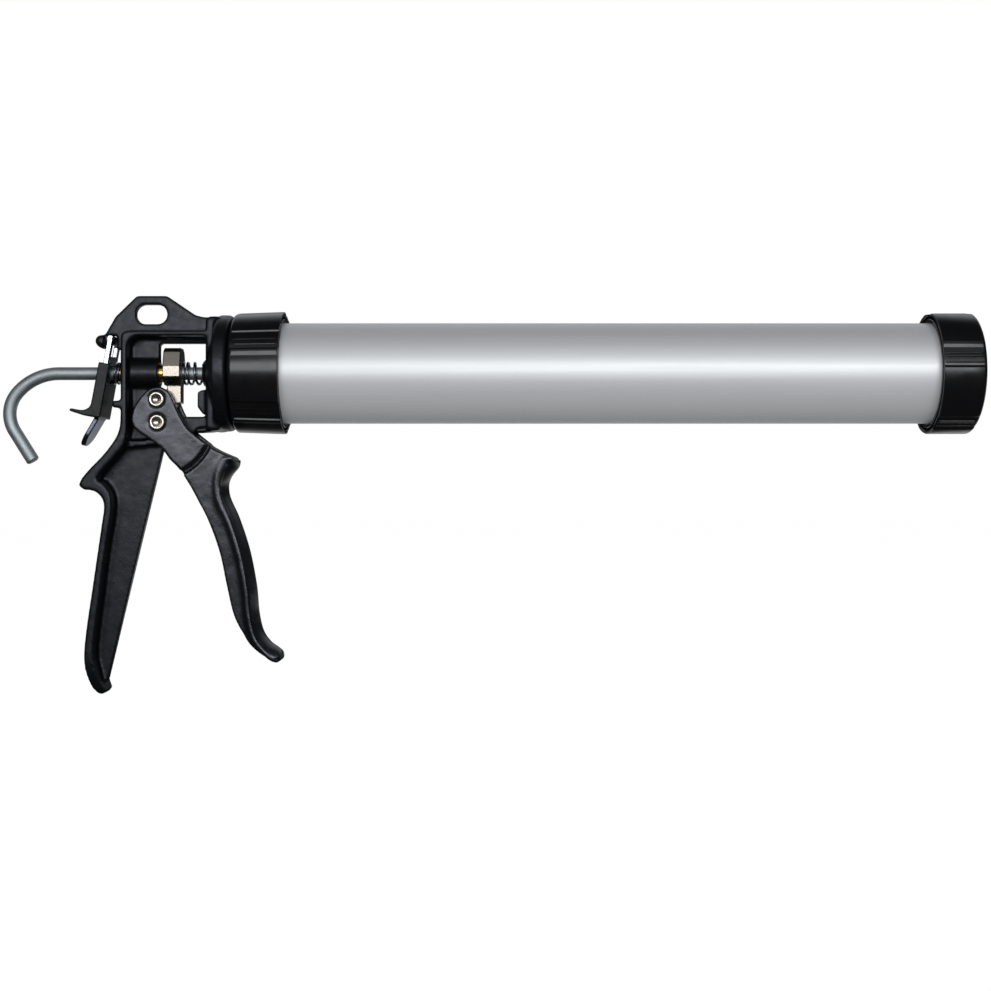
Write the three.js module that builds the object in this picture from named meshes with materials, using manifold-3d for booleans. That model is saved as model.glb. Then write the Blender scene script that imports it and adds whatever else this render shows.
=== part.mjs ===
// A 600 ml bulk caulking gun: a die-cast frame with a fixed T-section grip, a forked trigger that pushes
// a drive block along a hooked pull rod, a tilting lock plate that holds the rod, and an aluminium barrel
// between two lobed screw collars.
//
// Millimetres. While the pieces are made, the rod's axis is X at Y = 0, Z = 0, +X runs forward to the
// nozzle end, +Z is up and X = 0 is the seam between the frame's ring and the rear collar. The finished
// group is moved at the end so that its origin is the centre of the hanging slot.

import * as THREE from "three";
import { mergeVertices } from "three/addons/utils/BufferGeometryUtils.js";
import Module from "manifold-3d";

// ---------------------------------------------------------------- driving dimensions

const clearance = 0.3; // between pieces that touch or run in each other
const degree = Math.PI / 180;

const rod = {
  radius: 3.5,
  hookStart: -95.5,
  hookBends: [[29.5, 50], [17.5, 72]], // radius and sweep in degrees of each bend
  hookTail: 19.2,
  setBack: 6.3, // from the barrel's front end
};

const barrel = { outer: 27, wall: 1.5, rear: 9.3, length: 381.0 };

const collar = {
  wall: 2.0, // the lobed outer skirt
  sleeveWall: 2.0, // the threaded sleeve round the barrel
  skirtGap: 1.4, // the ring-shaped pocket between them
  lobes: 5,
  lobeShare: 0.7, // the smooth part of each repeat; the rest is ribbed
  ribs: 3,
  ribDepth: 0.9,
  length: 26.6,
  endWall: 4.0,
  pocketDepth: 14.5,
  taper: 0.8,
  turn: -10, // degrees above -Y at the middle of a smooth lobe
};
const frontCap = { length: 22.8, endWall: 2.6, mouth: 20, ringThick: 2.3, turn: -23 };

const ring = { radius: 31.3, thick: 8.8, round: 2.6 }; // the frame's front ring
const spigot = { radius: 12 }; // the collar turns on it
const retainer = {
  radius: 20,
  thick: 2,
  screwCircle: 8.5,
  screwRadius: 1.5,
  screwDepth: 9,
  headRadius: 3,
  headThick: 1.8,
};

const web = { half: 2.6 }; // half the thickness of the casting's flat webs
const flange = {
  half: 14,
  back: -59.1,
  thick: 3.2,
  top: 21.8,
  barThick: 2.7,
  innerCorner: 6.5,
  outerCorner: 3.5,
};
const boss = { radius: 8, front: -41.0 }; // carries the rear bush
const wall = { back: -14.1, top: 29.5, bossRadius: 8.2, bossBack: -17.3 };
const bush = { wall: 0.95, nose: 3.9, lip: 2.6 }; // nose and lip stand out behind and ahead of the boss
const slot = { x: -45.2, z: 31.8, length: 17.8, height: 11.3 }; // hanging slot

const pivot = { x: -40.5, z: -26.7, bossRadius: 6.5 }; // trigger pivot
const drivePin = { x: -40.8, z: -14.5, sleeve: 4.0 };
const rivet = { shank: 2.0, head: 3.9, headThick: 1.2, seatDepth: 0.8, dish: 2.4, dishDepth: 0.7 };

const trigger = {
  half: 10.3,
  cheek: 3.3,
  crotch: 26,
  flangeHalf: 10.8,
  crown: 0.75,
  webHalf: 9.2,
  groove: [28.8, 31.0], // inner and outer radius about the pivot
};

const block = { thick: 9.2, half: 8.4, top: 13.6, bottom: -6.6, tailHalf: 4, tailEnd: -20 };
const driveSpring = { radius: 5.75, wire: 0.6, closedTurns: 1.2, openTurns: 1.9 };

const lock = {
  x: -65.4, z: 19.0, // where the plate hangs in the frame's hooked lug
  tilt: 10.5,
  thick: 2.5,
  half: 9.6,
  top: 0.7,
  bend: -44.5,
  tongueBend: 20,
  tongueLength: 17.2,
  tongueHalf: 7,
  window: [-3.9, -10.3, 5.6], // top, bottom and half width of the opening below the bridge
  coverFront: 2.6,
  coverBack: -3.4,
  coverTop: -14.4,
  coverBottom: -43.8,
  coverHalf: 11.2,
  coverHole: 5.4,
};
const lockSpring = { gap: 0.33, wire: 0.52, turns: 3.2 }; // gap round the rear bush

const piston = {
  cupLength: 20,
  cupWall: 1.8,
  cupFace: 3.5,
  hub: 8,
  washerThick: 1.5,
  backWasher: 14,
  frontWasher: 12,
  nutFlats: 10,
  nutThick: 5,
};

// ---------------------------------------------------------------- sizes that follow

const rodBore = rod.radius + clearance;
const bushRadius = rodBore + bush.wall;
const lockSpringRadius = bushRadius + lockSpring.gap + lockSpring.wire;
const collarBore = barrel.outer + clearance;
const collarRadius = collarBore + collar.sleeveWall + collar.skirtGap + collar.wall;
const wallInner = flange.back + flange.thick;
const barrelFront = barrel.rear + barrel.length;
const rodFront = barrelFront - rod.setBack;
const cheekInner = trigger.half - trigger.cheek;
const blockBack = boss.front + bush.lip + clearance;
const blockFront = blockBack + block.thick;

// ---------------------------------------------------------------- solids

const wasm = await Module();
wasm.setup();

/** A closed three.js geometry as a solid that can be joined and cut; one drawn inside out is turned round. */
function solid(geometry) {
  const bare = geometry.clone();
  bare.deleteAttribute("normal");
  bare.deleteAttribute("uv");
  const merged = mergeVertices(bare, 1e-4);
  const vertProperties = merged.attributes.position.array;
  const triVerts = new Uint32Array(merged.index.array);
  const made = new wasm.Manifold(new wasm.Mesh({ numProp: 3, vertProperties, triVerts }));
  if (made.volume() > 0) return made;
  for (let i = 0; i < triVerts.length; i += 3) triVerts.subarray(i, i + 3).reverse();
  return new wasm.Manifold(new wasm.Mesh({ numProp: 3, vertProperties, triVerts }));
}

const join = (first, ...rest) => rest.reduce((sum, next) => sum.add(next), first);
const cut = (base, ...tools) => tools.reduce((left, tool) => left.subtract(tool), base);

/** The solid's faces as a three.js geometry. */
function faces(made) {
  const mesh = made.getMesh();
  const geometry = new THREE.BufferGeometry();
  geometry.setAttribute("position", new THREE.BufferAttribute(new Float32Array(mesh.vertProperties), 3));
  geometry.setIndex(Array.from(mesh.triVerts));
  const flat = geometry.toNonIndexed();
  flat.computeVertexNormals();
  return flat;
}

/** Corners [x, z] or [x, z, radius] as outline points; a corner with a radius becomes a tangent arc. */
function rounded(corners, arcStep = 18) {
  const points = [];
  const count = corners.length;
  corners.forEach(([x, z, radius = 0], i) => {
    const here = new THREE.Vector2(x, z);
    if (!radius) {
      points.push(here);
      return;
    }
    const before = new THREE.Vector2(...corners[(i + count - 1) % count]).sub(here);
    const after = new THREE.Vector2(...corners[(i + 1) % count]).sub(here);
    const half = Math.acos(before.clone().normalize().dot(after.clone().normalize())) / 2;
    const reach = radius / Math.tan(half);
    const middle = before.clone().normalize().add(after.clone().normalize()).normalize();
    const centre = here.clone().add(middle.multiplyScalar(radius / Math.sin(half)));
    const start = here.clone().add(before.normalize().multiplyScalar(reach)).sub(centre).angle();
    const end = here.clone().add(after.normalize().multiplyScalar(reach)).sub(centre).angle();
    let sweep = end - start;
    if (sweep > Math.PI) sweep -= 2 * Math.PI;
    if (sweep < -Math.PI) sweep += 2 * Math.PI;
    const steps = Math.max(2, Math.ceil(Math.abs(sweep) / (arcStep * degree)));
    for (let k = 0; k <= steps; k++) {
      const angle = start + (sweep * k) / steps;
      points.push(new THREE.Vector2(centre.x + radius * Math.cos(angle), centre.y + radius * Math.sin(angle)));
    }
  });
  return points;
}

/** A smooth curve through [x, z] points, as corners for rounded(). */
function curve(points, steps = 4) {
  const spline = new THREE.SplineCurve(points.map(([x, z]) => new THREE.Vector2(x, z)));
  return spline.getPoints(steps * (points.length - 1)).map((point) => [point.x, point.y]);
}

/** A slab with an outline in X and Z, from Y = y0 to Y = y1. */
function slab(corners, y0, y1) {
  const geometry = new THREE.ExtrudeGeometry(new THREE.Shape(rounded(corners)), {
    depth: y1 - y0,
    bevelEnabled: false,
  });
  return solid(geometry.rotateX(Math.PI / 2).translate(0, y1, 0));
}

/** Half an outline in Y and Z with its mirror image, as [y, z] corners. */
const mirrored = (half) => [...half, ...half.map(([y, z]) => [-y, z]).reverse()];

/** A bar along X with an outline of [y, z] corners. */
function alongX(corners, x0, x1) {
  const shape = new THREE.Shape(corners.map(([y, z]) => new THREE.Vector2(y, z)));
  const geometry = new THREE.ExtrudeGeometry(shape, { depth: x1 - x0, bevelEnabled: false });
  return solid(geometry.rotateX(Math.PI / 2).rotateZ(Math.PI / 2).translate(x0, 0, 0));
}

/** A box from its lowest to its highest corner. */
function box(low, high) {
  const size = high.map((value, i) => value - low[i]);
  const middle = high.map((value, i) => (value + low[i]) / 2);
  return solid(new THREE.BoxGeometry(...size).translate(...middle));
}

/** A solid turned about the X axis from [x, radius] points that close on themselves or end on the axis. */
function turnedX(profile, sides = 40) {
  const points = profile.map(([x, radius]) => new THREE.Vector2(radius, x));
  const onAxis = profile[0][1] === 0;
  if (!onAxis) points.push(points[0].clone());
  return solid(new THREE.LatheGeometry(points, sides).rotateZ(-Math.PI / 2));
}

/** A round bar along X. */
const barX = (radius, x0, x1, sides = 24) => turnedX([[x0, 0], [x0, radius], [x1, radius], [x1, 0]], sides);

/** A round bar along Y at (x, z). */
function barY(radius, x, z, y0, y1, sides = 32) {
  return solid(new THREE.CylinderGeometry(radius, radius, y1 - y0, sides).translate(x, (y0 + y1) / 2, z));
}

/** A round section swept along a curve. */
function swept(path, radius, steps, sides) {
  const section = new THREE.Shape();
  section.absarc(0, 0, radius, 0, 2 * Math.PI, false);
  const options = { steps, curveSegments: sides, bevelEnabled: false, extrudePath: path };
  return solid(new THREE.ExtrudeGeometry(section, options));
}

/** Points [x, z] on an arc about a centre, from one angle to another in degrees. */
function arcAbout(centre, radius, from, to, steps = 10) {
  return Array.from({ length: steps + 1 }, (_, k) => {
    const angle = (from + ((to - from) * k) / steps) * degree;
    return [centre.x + radius * Math.cos(angle), centre.z + radius * Math.sin(angle)];
  });
}

// ---------------------------------------------------------------- the frame casting

/** The flat plate above the top bar, with the hanging slot and the hooked lug that carries the lock plate. */
function eyePlate() {
  const plate = slab(
    [
      [-74.4, 18.6, 1.5], [-72.6, 20.5], [-70.2, 20.9], [-66.3, 27.6], [-64.6, 30.6, 3], [-53.0, 41.8, 3],
      [-37.0, 41.8, 3], [-21.6, 31.4, 5], [-17.0, 30.3], [wall.back + 3, 30.3],
      [wall.back + 3, flange.top - 1], [wallInner, flange.top - 1], [wallInner, 12.7], [-62.6, 12.7],
      [-62.6, 19.0], [-63.8, 20.2], [-67.6, 20.2], [-68.9, 19.4], [-70.5, 15.2], [-70.1, 12.6],
      [-73.6, 14.2],
    ],
    -web.half,
    web.half,
  );
  const lugHead = barY(3.0, -72.3, 17.4, -4.2, 4.2, 20);
  const nose = box([-70.5, -web.half - 2, 12], [-68.0, web.half + 2, 20.2]);
  const endRadius = slot.height / 2 - 0.1;
  const slotCorner = (sideX, sideZ) => [
    slot.x + (sideX * slot.length) / 2,
    slot.z + (sideZ * slot.height) / 2,
    endRadius,
  ];
  const hole = slab(
    [slotCorner(-1, -1), slotCorner(1, -1), slotCorner(1, 1), slotCorner(-1, 1)],
    -web.half - 1,
    web.half + 1,
  );
  return cut(join(plate, lugHead.subtract(nose)), hole);
}

/** The outline that the back of the grip follows, from the rear wall down to the butt. */
const gripBack = [
  [flange.back, -20],
  ...curve([[-59.3, -28.4], [-61.4, -34.7], [-67.4, -43.2], [-75.5, -51.7], [-79.8, -56.8]], 3),
  [-81.5, -60.6, 1.6], [-78.2, -62.9],
  ...curve([[-75.8, -62.8], [-71.8, -64.2], [-68.8, -67.6], [-67.9, -72.4], [-68.9, -80.0]], 3),
  ...curve([[-71.2, -95.7], [-74.3, -117.0], [-76.9, -134.5], [-78.4, -148.8], [-78.0, -158.6],
    [-75.3, -168.6]], 3),
  [-71.4, -174.0, 2.2], [-68.4, -170.0, 1.4],
];

/** The inside of the grip's flange, from the butt back up to the rear wall. */
const gripInside = [
  ...curve([[-70.3, -167.0], [-72.1, -160.1], [-73.9, -149.9], [-72.2, -132.7], [-70.4, -119.3],
    [-67.6, -96.7], [-64.7, -78.9], [-63.8, -71.4]], 3),
  ...curve([[-64.1, -67.1], [-65.6, -62.9], [-68.6, -59.0]], 3),
  [-72.2, -57.2, 1.2],
  ...curve([[-69.9, -53.7], [-65.6, -48.8], [-58.6, -40.6], [-56.6, -36.0], [wallInner, -29.0]], 3),
];

/** The wide flange: the top bar, the rear wall and the back of the grip, its butt rounded off. */
function flangeBand() {
  const butt = -173.2;
  const fromBehind = [
    [2.0, butt], [5.7, butt + 1.2], [9.1, butt + 4.6], [11.7, butt + 9.9], [13.4, butt + 16.6],
    [flange.half, butt + 24], [flange.half, flange.top + 1],
  ];
  return slab(
    [
      [wall.back + 2, flange.top], [flange.back, flange.top, flange.outerCorner],
      ...gripBack, ...gripInside,
      [wallInner, flange.top - flange.barThick, flange.innerCorner],
      [wall.back + 2, flange.top - flange.barThick],
    ],
    -flange.half,
    flange.half,
  ).intersect(alongX(mirrored(fromBehind), -100, 0));
}

/** The webs inside the flange: round the window, across the bottom and down the grip. */
function webs() {
  const bodyWeb = slab(
    [
      [wallInner - 1, flange.top - 1], [wall.back + 2, flange.top - 1], [wall.back + 2, -30.0],
      [-19.9, -31.0], [-39.1, -42.2], [-68.8, -165.5], ...gripInside.map(([x, z]) => [x - 1.5, z]),
    ],
    -web.half,
    web.half,
  );
  const window = slab(
    [
      [-40.7, 16.0, 1.5], [wall.back, 16.0], [wall.back, -23.3], [-36.0, -23.3], [-38.5, -21.5],
      [-47.0, -21.5, 2], [-47.0, -boss.radius - 0.6, 2], [-40.7, -boss.radius - 0.6],
    ],
    -web.half - 1,
    web.half + 1,
  );
  return cut(bodyWeb, window);
}

/** The ribs and lips that stand on the webs, on both sides. */
function ribs() {
  const ribHalf = cheekInner - 1;
  const gripRib = slab([[-57.5, -36.6], [-38.0, -35.4], [-37.0, -37.9], [-57.5, -40.2]], -ribHalf, ribHalf);
  const lipOutline = [[wall.back + 2, -28.6], [-20.2, -30.0], [-21.2, -32.2], [wall.back + 2, -31.6]];
  const bottomLip = slab(lipOutline, -ribHalf, ribHalf);
  const stopLug = slab(
    [
      [wall.back + 1, -9.0], [-17.2, -9.9], [-18.8, -11.4, 0.8], [-18.8, -16.5, 3], [-17.6, -20.6, 1],
      [wall.back + 1, -23.3],
    ],
    -9,
    9,
  );
  return join(gripRib, bottomLip, stopLug);
}

/** The pair of guides on the rear wall that the lock plate's cover stops against. */
function lockGuides() {
  const root = flange.back + 1;
  const guide = [[root, -15.4], [-63.6, -15.4, 0.6], [-63.6, -18.9, 0.6], [root, -19.8]];
  const inner = lock.coverHalf + 0.4;
  return join(slab(guide, -flange.half, -inner), slab(guide, inner, flange.half));
}

/** The front wall with its spring boss, the ring and the spigot that the rear collar turns on. */
function frontEnd() {
  const frontWall = slab(
    [
      [wall.back, wall.top, 3], [-6.0, wall.top], [-6.0, -31.0], [-10.5, -31.4], [wall.back, -30.6],
    ],
    -flange.half,
    flange.half,
  );
  const back = -ring.thick;
  const spigotFront = collar.endWall + clearance;
  const turned = turnedX(
    [
      [wall.back + 1, 0], [wall.back + 1, 15], [back, 23],
      [back, ring.radius - 1.4], [back + 1.4, ring.radius],
      [-ring.round, ring.radius], [-0.9, ring.radius - 0.9], [-clearance, ring.radius - ring.round],
      [-clearance, spigot.radius], [spigotFront, spigot.radius], [spigotFront, 0],
    ],
    48,
  );
  const springBoss = turnedX(
    [[wall.bossBack, 0], [wall.bossBack, wall.bossRadius - 1.6], [wall.bossBack + 2.2, wall.bossRadius],
      [wall.back + 1, wall.bossRadius], [wall.back + 1, 0]],
    40,
  );
  return join(frontWall, turned, springBoss);
}

/** The Y and Z of each retainer screw. */
const screwPlaces = [30, 150, 270].map((angle) => [
  retainer.screwCircle * Math.cos(angle * degree),
  retainer.screwCircle * Math.sin(angle * degree),
]);

function frameCasting() {
  const rearBoss = barX(boss.radius, wallInner - 1, boss.front, 40);
  const pivotBoss = barY(pivot.bossRadius, pivot.x, pivot.z, -cheekInner + clearance, cheekInner - clearance);
  const body = join(
    eyePlate(), flangeBand(), webs(), ribs(), lockGuides(), frontEnd(), rearBoss, pivotBoss,
  );
  const screwHoles = screwPlaces.map(([y, z]) =>
    barX(retainer.screwRadius + clearance, collar.endWall - retainer.screwDepth, 20, 16).translate(0, y, z),
  );
  return cut(
    body,
    barX(bushRadius + clearance, -90, 20),
    barY(rivet.shank + clearance, pivot.x, pivot.z, -20, 20, 24),
    ...screwHoles,
  );
}

// ---------------------------------------------------------------- bushes, retainer, collars, barrel

const rearBushBack = flange.back - bush.nose;
const rearBushFront = boss.front + bush.lip;
const tube = (inner, outer, x0, x1, sides = 24) =>
  turnedX([[x0, inner], [x1, inner], [x1, outer], [x0, outer]], sides);

const retainerBack = collar.endWall + 2 * clearance;
const retainerFront = retainerBack + retainer.thick;

function retainerPlate() {
  const disc = tube(rodBore + 0.4, retainer.radius, retainerBack, retainerFront, 48);
  const holes = screwPlaces.map(([y, z]) =>
    barX(retainer.screwRadius + clearance, 0, 20, 16).translate(0, y, z),
  );
  return cut(disc, ...holes);
}

/** A cheese-headed screw along X, its head resting on the retainer plate. */
function retainerScrew() {
  const seat = retainerFront + clearance;
  const screw = turnedX(
    [
      [seat + retainer.headThick, 0], [seat + retainer.headThick, retainer.headRadius - 0.4],
      [seat + retainer.headThick - 0.4, retainer.headRadius], [seat, retainer.headRadius],
      [seat, retainer.screwRadius], [seat - retainer.screwDepth, retainer.screwRadius],
      [seat - retainer.screwDepth, 0],
    ].reverse(),
    20,
  );
  const slotWidth = 0.9;
  const head = seat + retainer.headThick;
  return cut(screw, box([head - 0.8, -5, -slotWidth / 2], [head + 1, 5, slotWidth / 2]));
}

/** One repeat of a collar's outline, a smooth lobe and a group of ribs: [share of the repeat, drop]. */
function lobeSteps() {
  const steps = [];
  const smooth = 5;
  for (let k = 0; k <= smooth; k++) steps.push([(collar.lobeShare * k) / smooth, 0]);
  const perRib = (1 - collar.lobeShare) / (collar.ribs + 0.5);
  for (let k = 0; k < collar.ribs; k++) {
    const start = collar.lobeShare + perRib * (k + 0.25);
    steps.push([start, -collar.ribDepth], [start + perRib * 0.5, -collar.ribDepth * 0.3]);
  }
  return steps;
}

/** A closed lobed solid along X; stations are [x, radius of the lobes, depth of the ribs from 0 to 1]. */
function lobed(stations, turn) {
  const repeat = lobeSteps();
  const positions = [];
  const around = repeat.length * collar.lobes;
  for (const [x, radius, depth] of stations)
    for (let lobe = 0; lobe < collar.lobes; lobe++)
      for (const [share, drop] of repeat) {
        const angle = turn * degree + ((lobe + share - collar.lobeShare / 2) / collar.lobes) * 2 * Math.PI;
        const r = radius + drop * depth;
        positions.push(x, -r * Math.cos(angle), r * Math.sin(angle));
      }
  const index = [];
  const last = (stations.length - 1) * around;
  for (let s = 0; s < stations.length - 1; s++)
    for (let k = 0; k < around; k++) {
      const a = s * around + k;
      const b = s * around + ((k + 1) % around);
      index.push(a, b, a + around, b, b + around, a + around);
    }
  const rearCentre = positions.length / 3;
  positions.push(stations[0][0], 0, 0, stations[stations.length - 1][0], 0, 0);
  for (let k = 0; k < around; k++) {
    const next = (k + 1) % around;
    index.push(rearCentre, next, k, rearCentre + 1, last + k, last + next);
  }
  const geometry = new THREE.BufferGeometry();
  geometry.setAttribute("position", new THREE.Float32BufferAttribute(positions, 3));
  geometry.setIndex(index);
  return solid(geometry);
}

/** The rear collar: turns on the frame's spigot and holds the barrel in its threaded sleeve. */
function rearCap() {
  const open = clearance + collar.length;
  const outer = lobed(
    [
      [clearance, collarRadius - 4.2, 0], [1.4, collarRadius - 2.3, 0.2],
      [4.2, collarRadius - collar.taper, 0.9],
      [open - 0.6, collarRadius, 1], [open, collarRadius - 0.5, 0.6],
    ],
    collar.turn,
  );
  const pocketOuter = collarRadius - collar.wall;
  return cut(
    outer,
    barX(spigot.radius + clearance, -1, 10, 48),
    barX(barrel.outer - barrel.wall - 0.5, collar.endWall, open + 1, 48),
    barX(collarBore, barrel.rear - clearance, open + 1, 48),
    tube(pocketOuter - collar.skirtGap, pocketOuter, open - collar.pocketDepth, open + 1, 48),
  );
}

const capRear = barrelFront + frontCap.ringThick + 2 * clearance + frontCap.endWall - frontCap.length;
const capFront = capRear + frontCap.length;

/** The front cap: screws onto the barrel and clamps the nozzle's ring against its end. */
function frontCapSolid() {
  const outer = lobed(
    [
      [capRear, collarRadius - 0.6, 0.6], [capRear + 0.6, collarRadius - 0.1, 1],
      [capFront - 2.4, collarRadius - 0.1, 1], [capFront - 0.8, collarRadius - 1.0, 0.6],
      [capFront, collarRadius - 2.6, 0.1],
    ],
    frontCap.turn,
  );
  const pocketOuter = collarRadius - collar.wall;
  return cut(
    outer,
    barX(frontCap.mouth, capRear - 1, capFront + 1, 48),
    barX(collarBore, capRear - 1, capFront - frontCap.endWall, 48),
    tube(pocketOuter - collar.skirtGap, pocketOuter, capRear - 1, capRear + collar.pocketDepth, 48),
  );
}

function nozzleRing() {
  const seat = barrelFront + clearance;
  return tube(frontCap.mouth - 2, barrel.outer - 0.3, seat, seat + frontCap.ringThick, 48);
}

const barrelTube = () => tube(barrel.outer - barrel.wall, barrel.outer, barrel.rear, barrelFront, 48);

// ---------------------------------------------------------------- the trigger and its pins

/** The outside of the trigger's head and arm, down to where the finger grip starts. */
const armOutline = [
  ...curve([[-38.6, -7.7], [-43.7, -8.6], [-47.4, -11.2], [-50.6, -15.0], [-53.2, -19.6], [-54.3, -25.2],
    [-53.4, -29.0], [-50.6, -32.0]], 2),
  ...curve([[-42.6, -37.3], [-37.3, -41.6], [-33.8, -46.4], [-28.3, -52.2], [-22.6, -61.0]], 2),
  [-10.0, -61.0], [-9.0, -54.0], [-5.0, -48.0], [0.6, -46.6, 0.6],
  ...curve([[-0.6, -45.2], [-9.7, -41.2], [-14.3, -38.0], [-21.3, -32.5], [-25.0, -28.8], [-29.3, -21.4],
    [-33.0, -12.8], [-34.8, -9.8]], 2),
];

/** The finger grip's front edge and, beside each point of it, the root where its flange meets the web. */
const gripStations = [
  [[2.6, -46.8], [-4.5, -45.6]], [[1.8, -50.6], [-6.6, -49.0]], [[-1.6, -54.7], [-8.4, -53.8]],
  [[-3.6, -59.0], [-9.4, -59.0]], [[-3.6, -64.0], [-9.0, -65.0]], [[-2.2, -68.7], [-7.6, -70.6]],
  [[2.2, -78.5], [-2.9, -80.6]], [[7.6, -95.2], [2.3, -96.8]], [[11.3, -114.1], [5.8, -115.0]],
  [[12.7, -128.7], [7.2, -128.8]], [[15.0, -138.5], [9.8, -141.2]], [[18.9, -144.3], [15.0, -149.2]],
  [[22.8, -147.2], [19.2, -153.4]], [[25.4, -149.4], [22.8, -154.9]], [[26.0, -151.6], [24.8, -154.3]],
];
const gripFront = curve(gripStations.map(([front]) => front), 3);
const gripRoot = curve(gripStations.map(([, root]) => root), 3);
const gripMiddle = gripFront.map(([x, z], i) => [(x + gripRoot[i][0]) / 2, (z + gripRoot[i][1]) / 2]);

/** The palm side of the grip's web, from the tip back up. */
const palmSide = curve([[19.6, -153.6], [12.1, -148.2], [5.7, -140.1], [0.3, -129.4], [-3.4, -113.8],
  [-7.2, -96.1], [-13.1, -79.5], [-18.5, -68.7], [-22.6, -61.0]], 3);

/** A band between two lines of equal length, its front crowned: full in the middle, drawn back at the edges. */
function crownedBand(front, root, half, crown) {
  const across = [-1, -0.94, -0.77, -0.45, 0, 0.45, 0.77, 0.94, 1];
  const section = [[-1, 0], ...across.map((y) => [y, 1 - crown * (1 - Math.sqrt(1 - y * y))]), [1, 0]];
  const positions = [];
  front.forEach(([fx, fz], i) => {
    const [rx, rz] = root[i];
    for (const [y, share] of section)
      positions.push(rx + (fx - rx) * share, y * half, rz + (fz - rz) * share);
  });
  const size = section.length;
  const index = [];
  for (let i = 0; i < front.length - 1; i++)
    for (let k = 0; k < size; k++) {
      const a = i * size + k;
      const b = i * size + ((k + 1) % size);
      index.push(a, b, a + size, b, b + size, a + size);
    }
  const last = (front.length - 1) * size;
  for (let k = 1; k < size - 1; k++) index.push(0, k + 1, k, last, last + k, last + k + 1);
  const geometry = new THREE.BufferGeometry();
  geometry.setAttribute("position", new THREE.Float32BufferAttribute(positions, 3));
  geometry.setIndex(index);
  return solid(geometry);
}

function triggerCasting() {
  const { half, webHalf } = trigger;
  const arm = slab(armOutline, -half, half);
  const gripWeb = slab([[-22.0, -52.0], [-8.0, -50.0], ...gripMiddle.slice(6, -3), ...palmSide], -half, half);
  // Seen from the front, the web narrows below the arm.
  const narrowing = [[half, -30], [half - 0.1, -50], [webHalf, -154], [webHalf, -160]];
  const fingerFlange = crownedBand(gripFront, gripRoot, trigger.flangeHalf, trigger.crown);
  const body = join(arm, gripWeb.intersect(alongX(mirrored(narrowing), -45, 35)), fingerFlange);
  const fork = slab(arcAbout(pivot, trigger.crotch, 0, 350, 36), -cheekInner, cheekInner);
  const [grooveInner, grooveOuter] = trigger.groove;
  const grooveShape = [...arcAbout(pivot, grooveInner, -80, -15), ...arcAbout(pivot, grooveOuter, -15, -80)];
  const grooveDepth = 1.2;
  const pins = [pivot, drivePin].flatMap(({ x, z }) => [
    barY(rivet.shank + clearance, x, z, -20, 20, 20),
    barY(rivet.head + 0.5, x, z, -20, -half + rivet.seatDepth, 28),
    barY(rivet.head + 0.5, x, z, half - rivet.seatDepth, 20, 28),
  ]);
  return cut(
    body, fork, ...pins,
    slab(grooveShape, -20, -half + grooveDepth),
    slab(grooveShape, half - grooveDepth, 20),
  );
}

/** A rivet along Y with a dished head at each end. */
function rivetSolid({ x, z }) {
  const seat = trigger.half - rivet.seatDepth + clearance;
  const end = seat + rivet.headThick;
  const upper = [
    [rivet.shank, seat], [rivet.head, seat], [rivet.head, end - 0.4], [rivet.head - 0.5, end],
    [rivet.dish, end], [rivet.dish - 0.6, end - rivet.dishDepth], [0, end - rivet.dishDepth],
  ];
  const lower = upper.map(([radius, y]) => [radius, -y]).reverse();
  const profile = [...lower, ...upper].map(([radius, y]) => new THREE.Vector2(radius, y));
  return solid(new THREE.LatheGeometry(profile, 20)).translate(x, 0, z);
}

function driveSleeve() {
  const half = cheekInner - clearance;
  return cut(
    barY(drivePin.sleeve, drivePin.x, drivePin.z, -half, half, 32),
    barY(rivet.shank + clearance, drivePin.x, drivePin.z, -20, 20, 24),
  );
}

// ---------------------------------------------------------------- the drive block and springs

function driveBlock() {
  const { half, top, bottom, tailHalf, tailEnd } = block;
  const head = alongX(
    mirrored([[half - 4.6, bottom], [half, -2.3], [half, 10.2], [half - 4.2, top]]),
    blockBack,
    blockFront,
  );
  const tailBack = drivePin.x + drivePin.sleeve + clearance;
  const tail = slab(
    [
      [tailBack, bottom + 1], [blockFront - 1.0, bottom + 1], [blockFront - 1.9, -15.6, 1],
      [-33.0, tailEnd, 1.2], [tailBack, tailEnd, 1],
    ],
    -tailHalf,
    tailHalf,
  );
  return cut(join(head, tail), barX(rodBore, -60, 0));
}

/** A helix along X; place gives [x, extra x at the top of the coil] at a share of its length. */
class Helix extends THREE.Curve {
  constructor(radius, turns, place) {
    super();
    Object.assign(this, { radius, turns, place });
  }

  getPoint(share, target = new THREE.Vector3()) {
    const angle = share * this.turns * 2 * Math.PI;
    const z = this.radius * Math.cos(angle);
    const [x, lean] = this.place(share);
    return target.set(x + lean * z, this.radius * Math.sin(angle), z);
  }
}

const springSteps = 10; // for each turn
const springSides = 3; // for each half section

function driveSpringSolid() {
  const { radius, wire, closedTurns, openTurns } = driveSpring;
  const turns = closedTurns + openTurns;
  const back = blockFront + clearance + wire;
  const front = wall.bossBack - clearance - wire;
  const closedEnd = back + closedTurns * (2 * wire + 0.12);
  const closedShare = closedTurns / turns;
  const place = (share) =>
    share < closedShare
      ? [THREE.MathUtils.mapLinear(share, 0, closedShare, back, closedEnd), 0]
      : [THREE.MathUtils.mapLinear(share, closedShare, 1, closedEnd, front), 0];
  return swept(new Helix(radius, turns, place), wire, Math.round(turns * springSteps), springSides);
}

const leanOf = Math.tan(lock.tilt * degree);

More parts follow.
